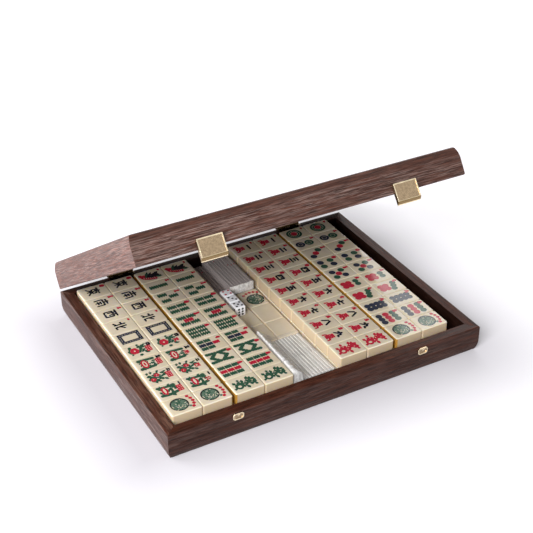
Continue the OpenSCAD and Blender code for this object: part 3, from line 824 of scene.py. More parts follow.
def wind_face(number):
    """One of the four winds, counted from 0."""
    figure = glyph(BLACK, WINDS[number], u=14.2, w=12.2, high=12.5, wide=11, width=2.3)
    return figure + index_mark(number + 1)


print("outlines on a numeral tile:", len(numeral_face(5)))

# %% [markdown]
# ## Counted patterns
# Bamboo and dots are counted, so each face is a short list of places and paints. The bamboo is
# slimmer where more of it has to fit on the tile. Eight is the odd one out, with two bent
# canes that mirror each other, and one of bamboo is a bird.

# %% Bamboo faces
ACROSS = (17.8, 12.0, 6.4)
# Width of the knuckles, and of the bar as a share of it, where a face differs from the rest
SLENDER = {6: (6.0, 0.45), 7: (5.4, 0.8), 9: (5.4, 0.8)}
STURDY = (6.8, 0.6)
BENT_CANE = [(3.6, 19.6), (11.6, 19.0), (5.4, 12.6), (11.6, 6.2), (3.6, 5.6)]
# Each stick of bamboo is its paint, its place along and across the tile, and its length
BAMBOO = {
    2: [(GREEN, u, 11.8, 9.8) for u in (8.3, 18.3)],
    3: [(GREEN, 9.3, 17.4, 9.8), (GREEN, 19.6, 11.8, 9.8), (GREEN, 9.3, 6.3, 9.8)],
    4: [(GREEN, u, w, 9.8) for w in (15.6, 7.8) for u in (8.6, 18.9)],
    5: [(GREEN, u, w, 9.8) for w in (17, 6.4) for u in (8.6, 18.9)] + [(RED, 14.2, 11.7, 10)],
    6: [(GREEN, u, w, 10.0) for w in ACROSS for u in (8.2, 18.5)],
    7: [
        (paint, u, w, 6.9) for w, paint in zip(ACROSS, (GREEN, BLUE, GREEN)) for u in (6.8, 14)
    ] + [(RED, 21.2, 12, 6.9)],
    9: [
        (paint, u, w, 6.9)
        for w, paint in zip(ACROSS, (GREEN, RED, GREEN)) for u in (5.9, 13.1, 20.3)
    ],
}


def bamboo_face(number):
    """Two to nine of bamboo."""
    if number == 8:
        mirrored = [(26.6 - u, w) for u, w in BENT_CANE]
        figure = bent_bamboo(GREEN, BENT_CANE, 4.5) + bent_bamboo(GREEN, mirrored, 4.5)
        return figure + index_mark(number)
    figure = []
    for paint, u, w, length in BAMBOO[number]:
        figure += bamboo(paint, u, w, length, *SLENDER.get(number, STURDY))
    return figure + index_mark(number)


def bird_face():
    """One of bamboo: a small perched bird with a long tail."""
    figure = line(RED, [(3.6, 15.5), (6.5, 8.4), (12, 5.6), (18.5, 4.6)], 4.2, 1)
    figure += leaf(RED, 4.0, 15, 9, 6, -40)
    for k in range(6):
        figure += box(BARE, 6.4 + 2.1 * k, 9.2 - 0.8 * k, 0.5, 2.6)
    for k in range(7):
        feather = GREEN if k % 3 == 0 else BLACK
        figure += leaf(feather, 8 + 1.6 * k, 8.2 - 0.1 * k, 12.6 - 0.6 * k, 3.6, 62 - 12 * k)
    figure += leaf(BLACK, 10, 9, 14, 6.5, 10) + leaf(BLACK, 18.5, 12, 7, 3.6, 35)
    return figure + index_mark(1)


print("outlines from one to nine of bamboo:", len(bird_face()), "to", len(bamboo_face(9)))

# %% Dot faces
# Each dot is its paint, its place along and across the tile, and its width
RED_DOTS = [(RED, u, w, 7.0) for u in (6.7, 12.4) for w in (14.2, 8.6)] + [(RED, 9.5, 11.4, 4)]
DOTS = {
    2: [(BLUE, 7.9, 11.4, 10.6), (GREEN, 18.7, 11.4, 10.6)],
    3: [(GREEN, 18.9, 16.4, 7.4), (RED, 13.5, 11.4, 7.4), (BLUE, 8.1, 6.4, 7.4)],
    4: [
        (BLUE, 7.6, 15.2, 7.6), (GREEN, 19.4, 15.2, 7.6),
        (GREEN, 7.6, 7.2, 7.6), (BLUE, 19.4, 7.2, 7.6),
    ],
    5: [
        (BLUE, 8.4, 16.2, 7.2), (GREEN, 19.0, 16.2, 7.2), (RED, 13.7, 11.2, 7.2),
        (GREEN, 8.4, 6.2, 7.2), (BLUE, 19.0, 6.2, 7.2),
    ],
    6: RED_DOTS + [(GREEN, 20.9, w, 6.6) for w in (14.2, 8.6)],
    7: RED_DOTS + [(GREEN, 22.2, 15.8, 6.6), (GREEN, 20.4, 11.0, 6.6), (GREEN, 18.6, 6.2, 6.6)],
    8: [(BLUE, u, w, 6.8) for u in (6.0, 11.5, 17.0, 22.5) for w in (14.4, 8.6)],
    9: [
        (paint, u, w, 6.7)
        for u, paint in ((6.0, BLUE), (13.7, RED), (21.4, GREEN)) for w in (17.0, 11.3, 5.6)
    ],
}


def dot_face(number):
    """Two to nine of dots."""
    figure = []
    for paint, u, w, across in DOTS[number]:
        figure += coin(paint, u, w, across)
    return figure + index_mark(number)


def one_dot_face():
    """One of dots: a large wheel of rings with a red heart."""
    figure = []
    for paint, across in ((GREEN, 17.6), (BARE, 12.6), (GREEN, 11.8), (BARE, 8.2), (RED, 7.5)):
        figure += spot(paint, 13.3, 11.5, across, sides=30)
    return figure + index_mark(1)


print("outlines from one to nine of dots:", len(one_dot_face()), "to", len(dot_face(9)))

# %% [markdown]
# ## Flowers
# The flowers are drawn more freely: blossoms and stems are given one by one, and between them
# leaves that are scattered by chance. The chance has a fixed seed, so each run draws the same
# leaves. In one column a plain red seal stands beside the flower, in the other a small red sign.


# %% Seals, blossoms and leaves
def seal(u, w, across_u, across_w):
    """Red seal with a plain cut pattern."""
    figure = box(RED, u, w, across_u, across_w)
    for k in (-1, 0, 1):
        figure += box(BARE, u, w + k * across_w * 0.28, across_u * 0.62, 0.55)
    return figure + box(RED, u, w, across_u * 0.2, across_w)


def blossom(u, w, across_u, across_w, petals=5):
    """Red blossom of round petals with a pale eye."""
    figure = []
    for k in range(petals):
        turn = math.tau * k / petals
        figure += spot(
            RED, u + 0.27 * across_u * math.cos(turn), w + 0.27 * across_w * math.sin(turn),
            0.5 * across_u, 0.5 * across_w, 9,
        )
    return figure + spot(BARE, u, w, 0.2 * across_u, 0.2 * across_w, 7)


def twigs(seed, count, u_range, w_range):
    """Green leaves scattered over a field."""
    scatter = random.Random(seed)
    figure = []
    for _ in range(count):
        u = scatter.uniform(u_range[0], u_range[1] - 3)
        w = scatter.uniform(w_range[0] + 2, w_range[1] - 2)
        turn = scatter.uniform(-80, 80)
        figure += leaf(GREEN, u, w, scatter.uniform(3.5, 5.5), scatter.uniform(2.0, 3.2), turn)
    return figure


print("outlines of a blossom:", len(blossom(0, 0, 5, 5)))


# %% Flower faces
def flower_face(kind, column):
    """One of the four flowers, with its number and its seal or sign."""
    if kind == 1:
        figure = line(GREEN, [(4, 19), (16, 17.5), (21, 19)], 3.2, 1)
        figure += line(GREEN, [(4, 7), (12, 6), (21, 8)], 3.6, 1)
        figure += twigs(3, 30, (4, 22), (4.5, 20))
        figure += blossom(9.6, 13, 6.4, 12) + spot(BARE, 9.6, 13, 2.2, 8, 10)
    elif kind == 2:
        figure = twigs(11, 38, (4, 23), (4.5, 20.5))
        figure += line(GREEN, [(4, 16), (13, 11), (21, 13)], 2.4)
        figure += blossom(12.9, 15.4, 5.4, 5.4) + blossom(7.7, 9.9, 5.4, 5.4)
    elif kind == 3:
        figure = line(GREEN, [(5, 19), (21, 18)], 3.6, 1)
        figure += line(GREEN, [(4, 5.7), (19, 6.4)], 3.6, 1)
        figure += twigs(7, 30, (4, 21), (4.5, 19.5)) + spot(RED, 10.4, 12.6, 7.4, 13)
        figure += spot(BARE, 10.4, 12.6, 4.0, 9.4) + spot(RED, 10.4, 12.6, 2.0, 6, 8)
    else:
        figure = twigs(5, 38, (3.5, 23), (4, 21)) + blossom(10.2, 12.6, 8.6, 10.5, 6)
    figure += glyph(BLACK, NUMERALS[kind], u=26.0, w=18.0, high=3.4, wide=4.0, width=1.8)
    if column:
        sign = WINDS[kind - 1]
        return figure + glyph(RED, sign, u=22.4, w=11.2, high=4.6, wide=5.4, width=1.2)
    return figure + seal(24, 11.4, 5.4, 9.2)


print("outlines of the four flowers:", [len(flower_face(kind, 0)) for kind in (1, 2, 3, 4)])

# %% [markdown]
# ## Dragons, medallion and frame
# A dragon is one winding body with leaves for claws and horns and a curled tail; the green one
# and the red one differ only in their seed. The medallion stands for the one face that is all
# fine detail: a mottled disc in a dark ring.


# %% Dragon
def dragon_face(paint, seed):
    """A winding dragon along the tile, with a curled tail, claws and horns."""
    scatter = random.Random(seed)
    turns = [(9 + 15.5 * k / 12, 11.4 + 2.9 * math.sin(0.95 * k + 0.6)) for k in range(13)]
    figure = line(paint, turns, 3.8, 1)
    for k, (u, w) in enumerate(turns[1::2]):
        side = 1 if k % 2 else -1
        upward, downward = side * scatter.uniform(50, 90), -side * scatter.uniform(40, 100)
        figure += leaf(paint, u, w + side, scatter.uniform(4.5, 6.5), 3.3, upward)
        figure += leaf(paint, u, w - side, scatter.uniform(3.5, 5), 3.0, downward)
    for u, w in turns[2::2]:
        figure += spot(BARE, u, w + 1.0, 1.3, 1.0, 6)
    figure += leaf(paint, 6.0, 12, 5, 3.4, 110) + leaf(paint, 4.5, 8, 3.6, 3.0, -120)
    figure += spot(paint, 8.4, 9.0, 8.4, 9.0) + spot(BARE, 8.6, 8.6, 3.6, 3.2)
    figure += leaf(paint, 20, 13, 6.5, 3.4, 62) + leaf(paint, 22.5, 11, 4.5, 3.8, -25)
    return figure + leaf(paint, 22, 13.5, 5, 3.2, 25)


print("outlines of a dragon:", len(dragon_face(GREEN, 2)))

# %% Medallion
MEDALLION_RING = 2.6
MEDALLION_LEAVES = 60
LOZENGE_STEP = 17.5


def medallion_face(u=12.9, w=12.4, across=17.6):
    """Round medallion of mottled leaves in a dark ring, with five red lozenges over it."""
    scatter = random.Random(20)
    figure = spot(BLACK, u, w, across, sides=32)
    figure += spot(SAGE, u, w, across - MEDALLION_RING, sides=28)
    for _ in range(MEDALLION_LEAVES):
        reach, turn = 0.40 * across * math.sqrt(scatter.random()), math.tau * scatter.random()
        place = (u + reach * math.cos(turn), w + reach * math.sin(turn))
        paint = scatter.choice((GREEN, GREEN, BARE))
        size = (scatter.uniform(1.6, 3.2), scatter.uniform(0.7, 1.1))
        figure += leaf(paint, *place, *size, 360 * scatter.random())
    figure += leaf(SAGE, u + 0.37 * across, w - 0.30 * across, 4.0, 3.0, -25)
    reach = 0.5 * across + 2.3
    for k in range(-2, 3):
        turn = math.radians(LOZENGE_STEP * k)
        place = (u + reach * math.cos(turn), w + reach * math.sin(turn))
        figure += leaf(RED, *place, 4.1, 3.9, LOZENGE_STEP * k)
    return figure


print("outlines of a medallion:", len(medallion_face()))


# %% Framed blank
def frame_face():
    """The framed blank tile."""
    u, w = 15.4, 12.6
    figure = box(BLACK, u, w, 22, 16.8) + box(BLUE, u, w, 21, 15.8)
    for side in (-1, 1):
        for k in range(-3, 4):
            figure += box(BARE, u + 2.7 * k, w + side * 6.5, 1.9, 0.34)
        for k in range(-1, 2):
            figure += box(BARE, u + side * 9.2, w + 3.0 * k, 0.34, 2.0)
    return figure + box(BLACK, u, w, 15.4, 10.2, 0.6) + box(BARE, u, w, 14.4, 9.2, 0.7)


print("outlines of the frame:", len(frame_face()))

# %% Which face lies where
# The tiles of each block's front row; block 1 has a medallion there too
FRONT_FACES = {2: dragon_face(GREEN, 2), 3: dragon_face(RED, 5), 4: medallion_face(13.1, 11.4)}


def face_of(block, row, column):
    """The figure of a tile by its block, its row from the front and its column."""
    if block == 1:
        if row == 0:
            return medallion_face()
        if row <= 4:
            return flower_face(row, column)
        return frame_face() if row == 5 else wind_face(row - 6)
    if row == 0:
        return FRONT_FACES[block]
    number = 10 - row
    if block == 2:
        return bird_face() if number == 1 else bamboo_face(number)
    if block == 3:
        return numeral_face(number)
    return one_dot_face() if number == 1 else dot_face(number)


print("faces in the front row:", 1 + len(FRONT_FACES))

# %% [markdown]
# ## Tile finishes
# The tiles are polished melamine in an old-ivory colour. Their tops are paler than their
# sides, which are painted warmer for the light that comes through the material, so the colour
# follows which way the surface faces. Painted highlights make the rims at the front and at each
# block's left edge nearly white, and a painted amber glow, for light that comes through the
# tiles, fills the narrow gap between two blocks. A faint cloudiness keeps one tile from looking
# like the next.

# %% Ivory, from its sides to its tops
TILE_TOP = (0.68, 0.585, 0.435)
TILE_TOP_LIGHT = (0.74, 0.655, 0.51)
# Sides are painted warmer than tops, for light that comes through the material
TILE_SIDE = (0.74, 0.585, 0.40)
# Painted amber glow of light come through the tiles, dim in the narrow gaps
AMBER_GAP_GLOW = (0.52, 0.28, 0.055)
# Painted highlight on the rims at the front and at each block's left edge
RIM_HIGHLIGHT = (0.86, 0.78, 0.62)

ivory = Finish("ivory tile")
facing = ivory.add("ShaderNodeTexCoord").outputs["Normal"]
upward = ivory.add("ShaderNodeSeparateXYZ", {0: facing}).outputs["Z"]
cloud = ivory.noise(ivory.coordinates(), 42, 3, 0.55)
cloudy = ivory.mix(ivory.levels(cloud, 0.35, 0.68), TILE_TOP, TILE_TOP_LIGHT)
# Faces turned away from the top take the painted side colour
body_colour = ivory.mix(ivory.levels(upward, 0.0, 0.4), TILE_SIDE, cloudy)
tile_x, tile_y, _ = ivory.add("ShaderNodeSeparateXYZ", {0: ivory.coordinates()}).outputs
print("ivory of a tile's top and side:", TILE_TOP, TILE_SIDE)

# %% Painted amber glow in the gaps between the blocks
# The lowest and highest x of each block, and the middles of the two narrow gaps
blocks = [[corner.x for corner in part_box(f"tiles_block_{k}_upper")] for k in (1, 2, 3, 4)]
left_gap, right_gap = (blocks[0][1] + blocks[1][0]) / 2, (blocks[2][1] + blocks[3][0]) / 2
gap_half = (blocks[1][0] - blocks[0][1]) / 2
# Folding the x axis at two places makes one distance that serves both gaps
from_gap = tile_x
for fold in ((left_gap + right_gap) / 2, (right_gap - left_gap) / 2):
    moved = ivory.add("ShaderNodeMath", {0: from_gap, 1: fold}, operation="SUBTRACT")
    from_gap = ivory.add("ShaderNodeMath", {0: moved}, operation="ABSOLUTE")
in_gap = ivory.levels(from_gap, gap_half + 1.2 * MM, gap_half + 1.6 * MM, 1, 0)
steep = ivory.levels(upward, 0.2, 0.5, 1, 0)
amber = ivory.add("ShaderNodeMath", {0: in_gap, 1: steep}, operation="MULTIPLY")
print("gaps between blocks in mm:", round(2 * gap_half / MM, 2))

# %% Painted highlights on the rims
# How far the painted highlights reach in from the front and from each block's left edge
FRONT_RIM = 1.3 * MM
LEFT_RIM = 3.2 * MM


def just_inside(value, edge, reach):
    """1 on the tile's side of an edge, fading to 0 at the reach."""
    passed = ivory.add("ShaderNodeMath", {0: value, 1: edge}, operation="SUBTRACT")
    near = ivory.levels(passed, 0.5 * MM, reach, 0.85, 0)
    tile_side = ivory.levels(passed, -0.3 * MM, -0.1 * MM)
    return ivory.add("ShaderNodeMath", {0: near, 1: tile_side}, operation="MULTIPLY")


rim = just_inside(tile_y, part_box("tiles_block_1_upper")[0].y, FRONT_RIM)
for block_left, _ in blocks:
    left_rim = just_inside(tile_x, block_left, LEFT_RIM)
    rim = ivory.add("ShaderNodeMath", {0: rim, 1: left_rim}, operation="MAXIMUM")
not_steep = ivory.levels(upward, 0.15, 0.4)
rim = ivory.add("ShaderNodeMath", {0: rim, 1: not_steep}, operation="MULTIPLY")
# The rims take the painted highlight
body_colour = ivory.mix(rim, body_colour, RIM_HIGHLIGHT)
# The gaps between blocks take the painted amber glow
ivory.shade(
    Base_Color=ivory.mix(amber, body_colour, AMBER_GAP_GLOW),
    Roughness=ivory.levels(ivory.noise(ivory.coordinates(), 300, 2), 0.3, 0.7, 0.07, 0.13),
    IOR=1.52,
    Subsurface_Weight=0.30,
    Subsurface_Radius=(0.005, 0.0036, 0.0012),
    Subsurface_Scale=0.7,
)
print("nodes in the ivory:", len(ivory.tree.nodes))

# %% [markdown]
# ## Paints
# The paint lies at the bottom of the engraving and is duller than the tile round it. The list
# of finishes is in the order of the paints' numbers, so that a face's number finds its paint.


# %% Paints in the engravings
def paint_finish(name, colour):
    """Enamel in an engraving: even colour, a little worn."""
    paint = Finish(name)
    wear = paint.levels(paint.noise(paint.coordinates(), 900, 3, 0.6), 0.45, 0.75)
    faded = tuple(min(1, 1.35 * c + 0.02) for c in colour)
    paint.shade(Base_Color=paint.mix(wear, colour, faded), Roughness=0.16)
    return paint


paints = [
    ivory,
    paint_finish("green paint", (0.028, 0.082, 0.050)),
    paint_finish("red paint", (0.45, 0.019, 0.042)),
    paint_finish("black paint", (0.013, 0.015, 0.020)),
    paint_finish("blue black paint", (0.024, 0.030, 0.052)),
    paint_finish("sage paint", (0.105, 0.165, 0.118)),
]
print("paints:", len(paints))

# %% [markdown]
# ## Blocks of tiles
# Each block is two columns of ten tiles in two layers. Only the upper layer shows its faces,
# so the lower one is the same rounded block without a figure. Both take their measures from
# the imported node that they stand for.

# %% Tiles
TILE_GAP = 0.2
TILE_CORNER = 1.6
TILE_EDGE = 1.1
ROWS = 10
block_lo, block_hi = (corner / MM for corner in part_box("tiles_block_1_upper"))
tile_length = (block_hi.x - block_lo.x - TILE_GAP) / 2
tile_width = (block_hi.y - block_lo.y - (ROWS - 1) * TILE_GAP) / ROWS
tile_height = block_hi.z - block_lo.z
print("tile in mm:", round(tile_length, 2), round(tile_width, 2), round(tile_height, 2))


def tile(figure):
    """A tile with this figure, its left front corner at the origin."""
    return engraved_block(tile_length, tile_width, tile_height, TILE_CORNER, TILE_EDGE, figure)


for block in (1, 2, 3, 4):
    for layer in ("lower", "upper"):
        name = f"tiles_block_{block}_{layer}"
        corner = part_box(name)[0] / MM
        group = Shape()
        for row in range(ROWS):
            for column in (0, 1):
                x = corner.x + column * (tile_length + TILE_GAP)
                y = corner.y + row * (tile_width + TILE_GAP)
                figure = face_of(block, row, column) if layer == "upper" else []
                group.merge(tile(figure), Matrix.Translation((x, y, corner.z)))
        group.build(f"ivory_{name}", "ivory_tile", paints, name)

# %% [markdown]
# ## Tiles in the middle channel
# Six spare tiles lie lengthwise between the blocks. Only the one at the back right carries a
# figure, the medallion, so its outlines turn with the tile.

# %% Centre tiles
CENTRE_ROWS = 3
centre_lo, centre_hi = (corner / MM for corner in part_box("centre_tiles"))
column_step = centre_hi.x - centre_lo.x - tile_width
row_step = tile_length + TILE_GAP
turned_face = [
    (paint, [(tile_width - w, u) for u, w in points])
    for paint, points in medallion_face(11.4, 10.2, 18.8)
]
group = Shape()
for row in range(CENTRE_ROWS):
    for column in (0, 1):
        figure = turned_face if (row, column) == (CENTRE_ROWS - 1, 1) else []
        block_shape = engraved_block(
            tile_width, tile_length, tile_height, TILE_CORNER, TILE_EDGE, figure
        )
        place = (centre_lo.x + column * column_step, centre_lo.y + row * row_step, centre_lo.z)
        group.merge(block_shape, Matrix.Translation(place))
group.build("ivory_centre_tiles", "ivory_tile", paints, "centre_tiles")

# %% [markdown]
# ## Dice
# Three white dice stand in a row on the middle tiles. A die is the same rounded block on all
# six sides, so each side is made as an engraved face about its own middle and turned into
# place, and a round bead closes the edges between them. Opposite sides add up to seven.

# %% What the dice show
PIP_PLACES = {
    1: [(0, 0)],
    2: [(-1, -1), (1, 1)],
    3: [(-1, 1), (0, 0), (1, -1)],
    4: [(-1, -1), (-1, 1), (1, -1), (1, 1)],
    5: [(-1, -1), (-1, 1), (1, -1), (1, 1), (0, 0)],
    6: [(-0.7, -1.1), (-0.7, 0), (-0.7, 1.1), (0.7, -1.1), (0.7, 0), (0.7, 1.1)],
}
# The six ways in which a side can face, as the turn that brings the top there
SIDES = {
    "top": Matrix.Identity(4),
    "bottom": Matrix.Rotation(math.pi, 4, "X"),
    "front": Matrix.Rotation(math.pi / 2, 4, "X"),
    "back": Matrix.Rotation(-math.pi / 2, 4, "X"),
    "right": Matrix.Rotation(math.pi / 2, 4, "Y"),
    "left": Matrix.Rotation(-math.pi / 2, 4, "Y"),
}
# The first one is the one at the back
THROWS = (
    {"top": 4, "bottom": 3, "front": 2, "back": 5, "left": 1, "right": 6},
    {"top": 3, "bottom": 4, "front": 5, "back": 2, "left": 1, "right": 6},
    {"top": 5, "bottom": 2, "front": 6, "back": 1, "left": 3, "right": 4},
)
print("dice show", [throw["top"] for throw in THROWS])

# %% A die
DIE_EDGE = 1.5
PIP = 2.45
PIP_SPREAD = 2.9
PIP_DEPTH = 0.4


def die_shape(size, throw):
    """A die about its own middle."""
    shape = Shape()
    flat = size / 2 - DIE_EDGE
    for side, turn in SIDES.items():
        count = throw[side]
        pips = []
        for x, y in PIP_PLACES[count]:
            paint = RED if count in (1, 4) else BLACK
            pips += spot(paint, x * PIP_SPREAD, y * PIP_SPREAD, PIP, sides=12)
        outline = [(-flat, -flat), (flat, -flat), (flat, flat), (-flat, flat)]
        shape.merge(engraved(outline, size / 2, pips, PIP_DEPTH), turn)
    steps = 4
    bead = [math.radians(90 * k / steps) for k in range(steps + 1)]
    for side in ("top", "right", "front"):
        turn = SIDES[side]
        for quarter in range(4):
            spin = Matrix.Rotation(quarter * math.pi / 2, 4, "Z")
            arc = [(flat + DIE_EDGE * math.cos(a), flat + DIE_EDGE * math.sin(a)) for a in bead]
            edge = Shape()
            edge.add(
                [(x, y, z) for z in (-flat, flat) for x, y in arc],
                [(i, i + 1, i + steps + 2, i + steps + 1) for i in range(steps)],
            )
            shape.merge(edge, turn @ spin)
    points = []
    for b in bead:
        reach = DIE_EDGE * math.cos(b)
        height = flat + DIE_EDGE * math.sin(b)
        points += [(flat + reach * math.cos(a), flat + reach * math.sin(a), height) for a in bead]
    stride = steps + 1
    corner = Shape()
    corner.add(points, [
        (j * stride + i, j * stride + i + 1, (j + 1) * stride + i + 1, (j + 1) * stride + i)
        for j in range(steps) for i in range(steps)
    ])
    for side in ("top", "bottom"):
        for quarter in range(4):
            spin = Matrix.Rotation(quarter * math.pi / 2, 4, "Z")
            shape.merge(corner, SIDES[side] @ spin)
    return shape


print("faces of a die:", len(die_shape(12, THROWS[0]).faces))

# %% The three dice
DICE_GAP = 0.4
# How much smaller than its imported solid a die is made, so that it can stand a little askew
DIE_SLACK = 0.1
ASKEW_DEGREES = (1.0, -1.2, 0.8)
white = Finish("dice white")
clouds = white.levels(white.noise(white.coordinates(), 200, 3), 0.3, 0.7)
white.shade(
    Base_Color=white.mix(clouds, (0.97, 0.97, 1.0), (0.93, 0.94, 0.98)),
    Roughness=0.16,
    Subsurface_Weight=0.1,
    Subsurface_Radius=(0.002, 0.002, 0.002),
    Subsurface_Scale=0.5,
)
dice_paints = [white] + paints[1:]
dice_lo, dice_hi = (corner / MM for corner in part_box("dice"))
die_size = dice_hi.x - dice_lo.x
group = Shape()
for number, throw in enumerate(THROWS):
    middle = Vector((
        dice_lo.x + die_size / 2,
        dice_hi.y - die_size / 2 - number * (die_size + DICE_GAP),
        dice_lo.z + die_size / 2,
    ))
    askew = Matrix.Rotation(math.radians(ASKEW_DEGREES[number]), 4, "Z")
    group.merge(die_shape(die_size - DIE_SLACK, throw), Matrix.Translation(middle) @ askew)
group.build("white_dice", "dice_white", dice_paints, "dice")

# %% [markdown]
# ## Counting sticks
# The sticks are thin bars of white plastic, packed by the dozen in clear film. They are made
# one by one, because no two lie quite alike: each is turned and shifted by a hair. Those on
# top of a bundle carry a few painted dots, which are engraved like the tiles' figures.

# %% A stick and its dots
STICK_CORNER = 0.7
STICK_EDGE = 0.6
DOT_DEPTH = 0.15


def stick(length, width, height, figure):
    """A stick along Y with rounded edges and a figure on its top."""
    rings = rounded_sides(width, length, height, STICK_CORNER, STICK_EDGE, steps=2)
    shape = stacked(rings)
    shape.merge(engraved(rings[-1], height, figure, DOT_DEPTH))
    shape.add(rings[0][::-1], [range(len(rings[0]))])
    return shape


def stick_dots(kind, width, length, scatter):
    """Dots near the middle of a stick: one red, or two rows of small dark ones."""
    if kind == "red":
        w = length * scatter.uniform(0.5, 0.82)
        return spot(RED, width / 2, w, 1.9, 2.1, 10) if scatter.random() < 0.6 else []
    if kind == "dark":
        first = length * 0.5 + scatter.uniform(-1.5, 1.5)
        figure = []
        for k in range(5):
            for side in (-0.75, 0.75):
                figure += spot(BLACK, width / 2 + side, first + 1.7 * k, 0.8, sides=8)
        return figure if scatter.random() < 0.6 else []
    return []


print("faces of a plain stick:", len(stick(66, 3.3, 2.25, []).faces))

# %% A bundle
STICK_GAP = 0.08
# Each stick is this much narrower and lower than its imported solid, so that it can lie askew
NARROWER, LOWER = 0.5, 0.05


def bundle(shape, corner, across, layers, measures, kind, seed, fan=0.0):
    """Adds a stack of sticks to a shape; fan is how far its front end spreads each way."""
    width, length, height = measures
    scatter = random.Random(seed)
    for layer in range(layers):
        for i in range(across):
            share = 2 * i / max(1, across - 1) - 1
            lean = math.radians(scatter.uniform(-0.12, 0.12)) + share * fan / length
            figure = stick_dots(kind, width, length, scatter) if layer == layers - 1 else []
            shorter = scatter.uniform(0.0, 0.7)
            bar = stick(length - shorter, width - NARROWER, height - LOWER, figure)
            lift = scatter.uniform(0, 0.05) if layer == layers - 1 else 0
            place = Matrix.Translation((
                corner.x + i * (width + STICK_GAP) + 0.03,
                corner.y + scatter.uniform(0.0, 0.5),
                corner.z + layer * (height + STICK_GAP) + lift,
            ))
            pivot = Matrix.Translation((0, length, 0))
            shape.merge(bar, place @ pivot @ Matrix.Rotation(lean, 4, "Z") @ pivot.inverted())


print("sticks keep apart by", STICK_GAP, "mm")

# %% [markdown]
# ## Stick plastic
# The front bundle is white, and its rounded edges are painted paler than the tops as a painted
# highlight. The bundle at the back lies in the lid's shade and is made a greyer plastic, and
# there the edges are painted darker than the tops, as painted shade.


# %% Plastic of the sticks
def stick_plastic(name, light, dark, edge):
    """Moulded plastic with fine streaks along the stick; its rounded edges take another colour,
    which paints the light or shade on them.
    """
    plastic = Finish(name)
    streaks = plastic.noise(plastic.coordinates(stretch=(40, 1, 40)), 12, 3, 0.6)
    streaked = plastic.mix(plastic.levels(streaks, 0.35, 0.65), dark, light)
    facing = plastic.add("ShaderNodeTexCoord").outputs["Normal"]
    upward = plastic.add("ShaderNodeSeparateXYZ", {0: facing}).outputs["Z"]
    plastic.shade(
        Base_Color=plastic.mix(plastic.levels(upward, 0.8, 0.97), edge, streaked),
        Roughness=plastic.levels(streaks, 0.3, 0.7, 0.22, 0.36),
    )
    return plastic


# The white sticks' edge colour is a painted highlight
white_plastic = stick_plastic(
    "white stick plastic", (0.74, 0.71, 0.67), (0.47, 0.44, 0.41), (0.97, 0.95, 0.92)
)
# The grey sticks' edge colour is painted shade
grey_plastic = stick_plastic(
    "grey stick plastic", (0.54, 0.465, 0.45), (0.40, 0.345, 0.33), (0.44, 0.37, 0.355)
)
print("nodes in the plastic:", len(white_plastic.tree.nodes))

# %% Both bundles
# How many sticks lie side by side, and in how many layers
FRONT_STICKS, FRONT_LAYERS = 13, 6
BACK_STICKS, BACK_LAYERS = 8, 10
LOW_STICKS, LOW_LAYERS = 4, 6
front_lo, front_hi = (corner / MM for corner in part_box("front_sticks"))
back_lo, back_hi = (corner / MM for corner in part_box("back_sticks"))
stick_measures = (
    (front_hi.x - front_lo.x + STICK_GAP) / FRONT_STICKS - STICK_GAP,
    front_hi.y - front_lo.y,
    (front_hi.z - front_lo.z + STICK_GAP) / FRONT_LAYERS - STICK_GAP,
)
tall_x = back_hi.x - BACK_STICKS * (stick_measures[0] + STICK_GAP) + STICK_GAP
print("stick in mm:", [round(x, 2) for x in stick_measures])

FRONT_FAN = 1.9
group = Shape()
bundle(group, front_lo, FRONT_STICKS, FRONT_LAYERS, stick_measures, "dark", seed=4, fan=FRONT_FAN)
group.build("counting_sticks_front", "stick_white", [white_plastic] + paints[1:], "front_sticks")

group = Shape()
tall_corner = Vector((tall_x, back_lo.y, back_lo.z))
bundle(group, tall_corner, BACK_STICKS, BACK_LAYERS, stick_measures, "red", seed=8)
bundle(group, back_lo, LOW_STICKS, LOW_LAYERS, stick_measures, "red", seed=9)
group.build("counting_sticks_back", "stick_white", [grey_plastic] + paints[1:], "back_sticks")

# %% [markdown]
# ## Clear film
# Each bundle is slipped into a bag of thin clear film. Film this thin has hardly a colour; it
# is seen by its creases, which catch the light as white lines. So the bag is a real sheet
# with creases along the sticks, nearly clear and glossy. Where many folds lie over each other
# it looks white: at the back bag's gathered end, and along the front bag's left side, where
# the film is rolled up. Between that roll and the sticks it is milky and clears by degrees.

# %% Film finishes
CLEAR_ALPHA = 0.13
MILKY_ALPHA = 0.64
HAZE_REACH = 14 * MM
film = Finish("clear film")
film.shade(Base_Color=(0.93, 0.93, 0.95, 1), Roughness=0.12, IOR=1.5, Alpha=CLEAR_ALPHA)
film.bump(film.noise(film.coordinates(stretch=(16, 1, 16)), 40, 3, 0.6), 0.3, 0.5 * MM)

milky = Finish("folded film")
bag_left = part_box("front_sticks")[0].x
film_x = milky.add("ShaderNodeSeparateXYZ", {0: milky.coordinates()}).outputs["X"]
haze = milky.levels(film_x, bag_left, bag_left + HAZE_REACH, MILKY_ALPHA, CLEAR_ALPHA)
milky.shade(Base_Color=(0.95, 0.94, 0.94, 1), Roughness=0.2, IOR=1.5, Alpha=haze)
milky.bump(milky.noise(milky.coordinates(stretch=(1, 0.3, 1)), 400, 3, 0.6), 0.5, 0.3 * MM)

crumpled = Finish("crumpled film")
folded = crumpled.noise(crumpled.coordinates(stretch=(1, 1, 0.5)), 420, 4, 0.7)
where_white = crumpled.levels(folded, 0.40, 0.58)
crumpled.shade(
    Base_Color=crumpled.mix(where_white, (0.68, 0.66, 0.65), (1.0, 0.99, 0.98)),
    Roughness=0.2,
    IOR=1.5,
    Alpha=0.93,
)
crumpled.bump(crumpled.noise(crumpled.coordinates(), 700, 3, 0.6), 0.5, 0.3 * MM)
print("alpha of the clear and the milky film:", CLEAR_ALPHA, MILKY_ALPHA)


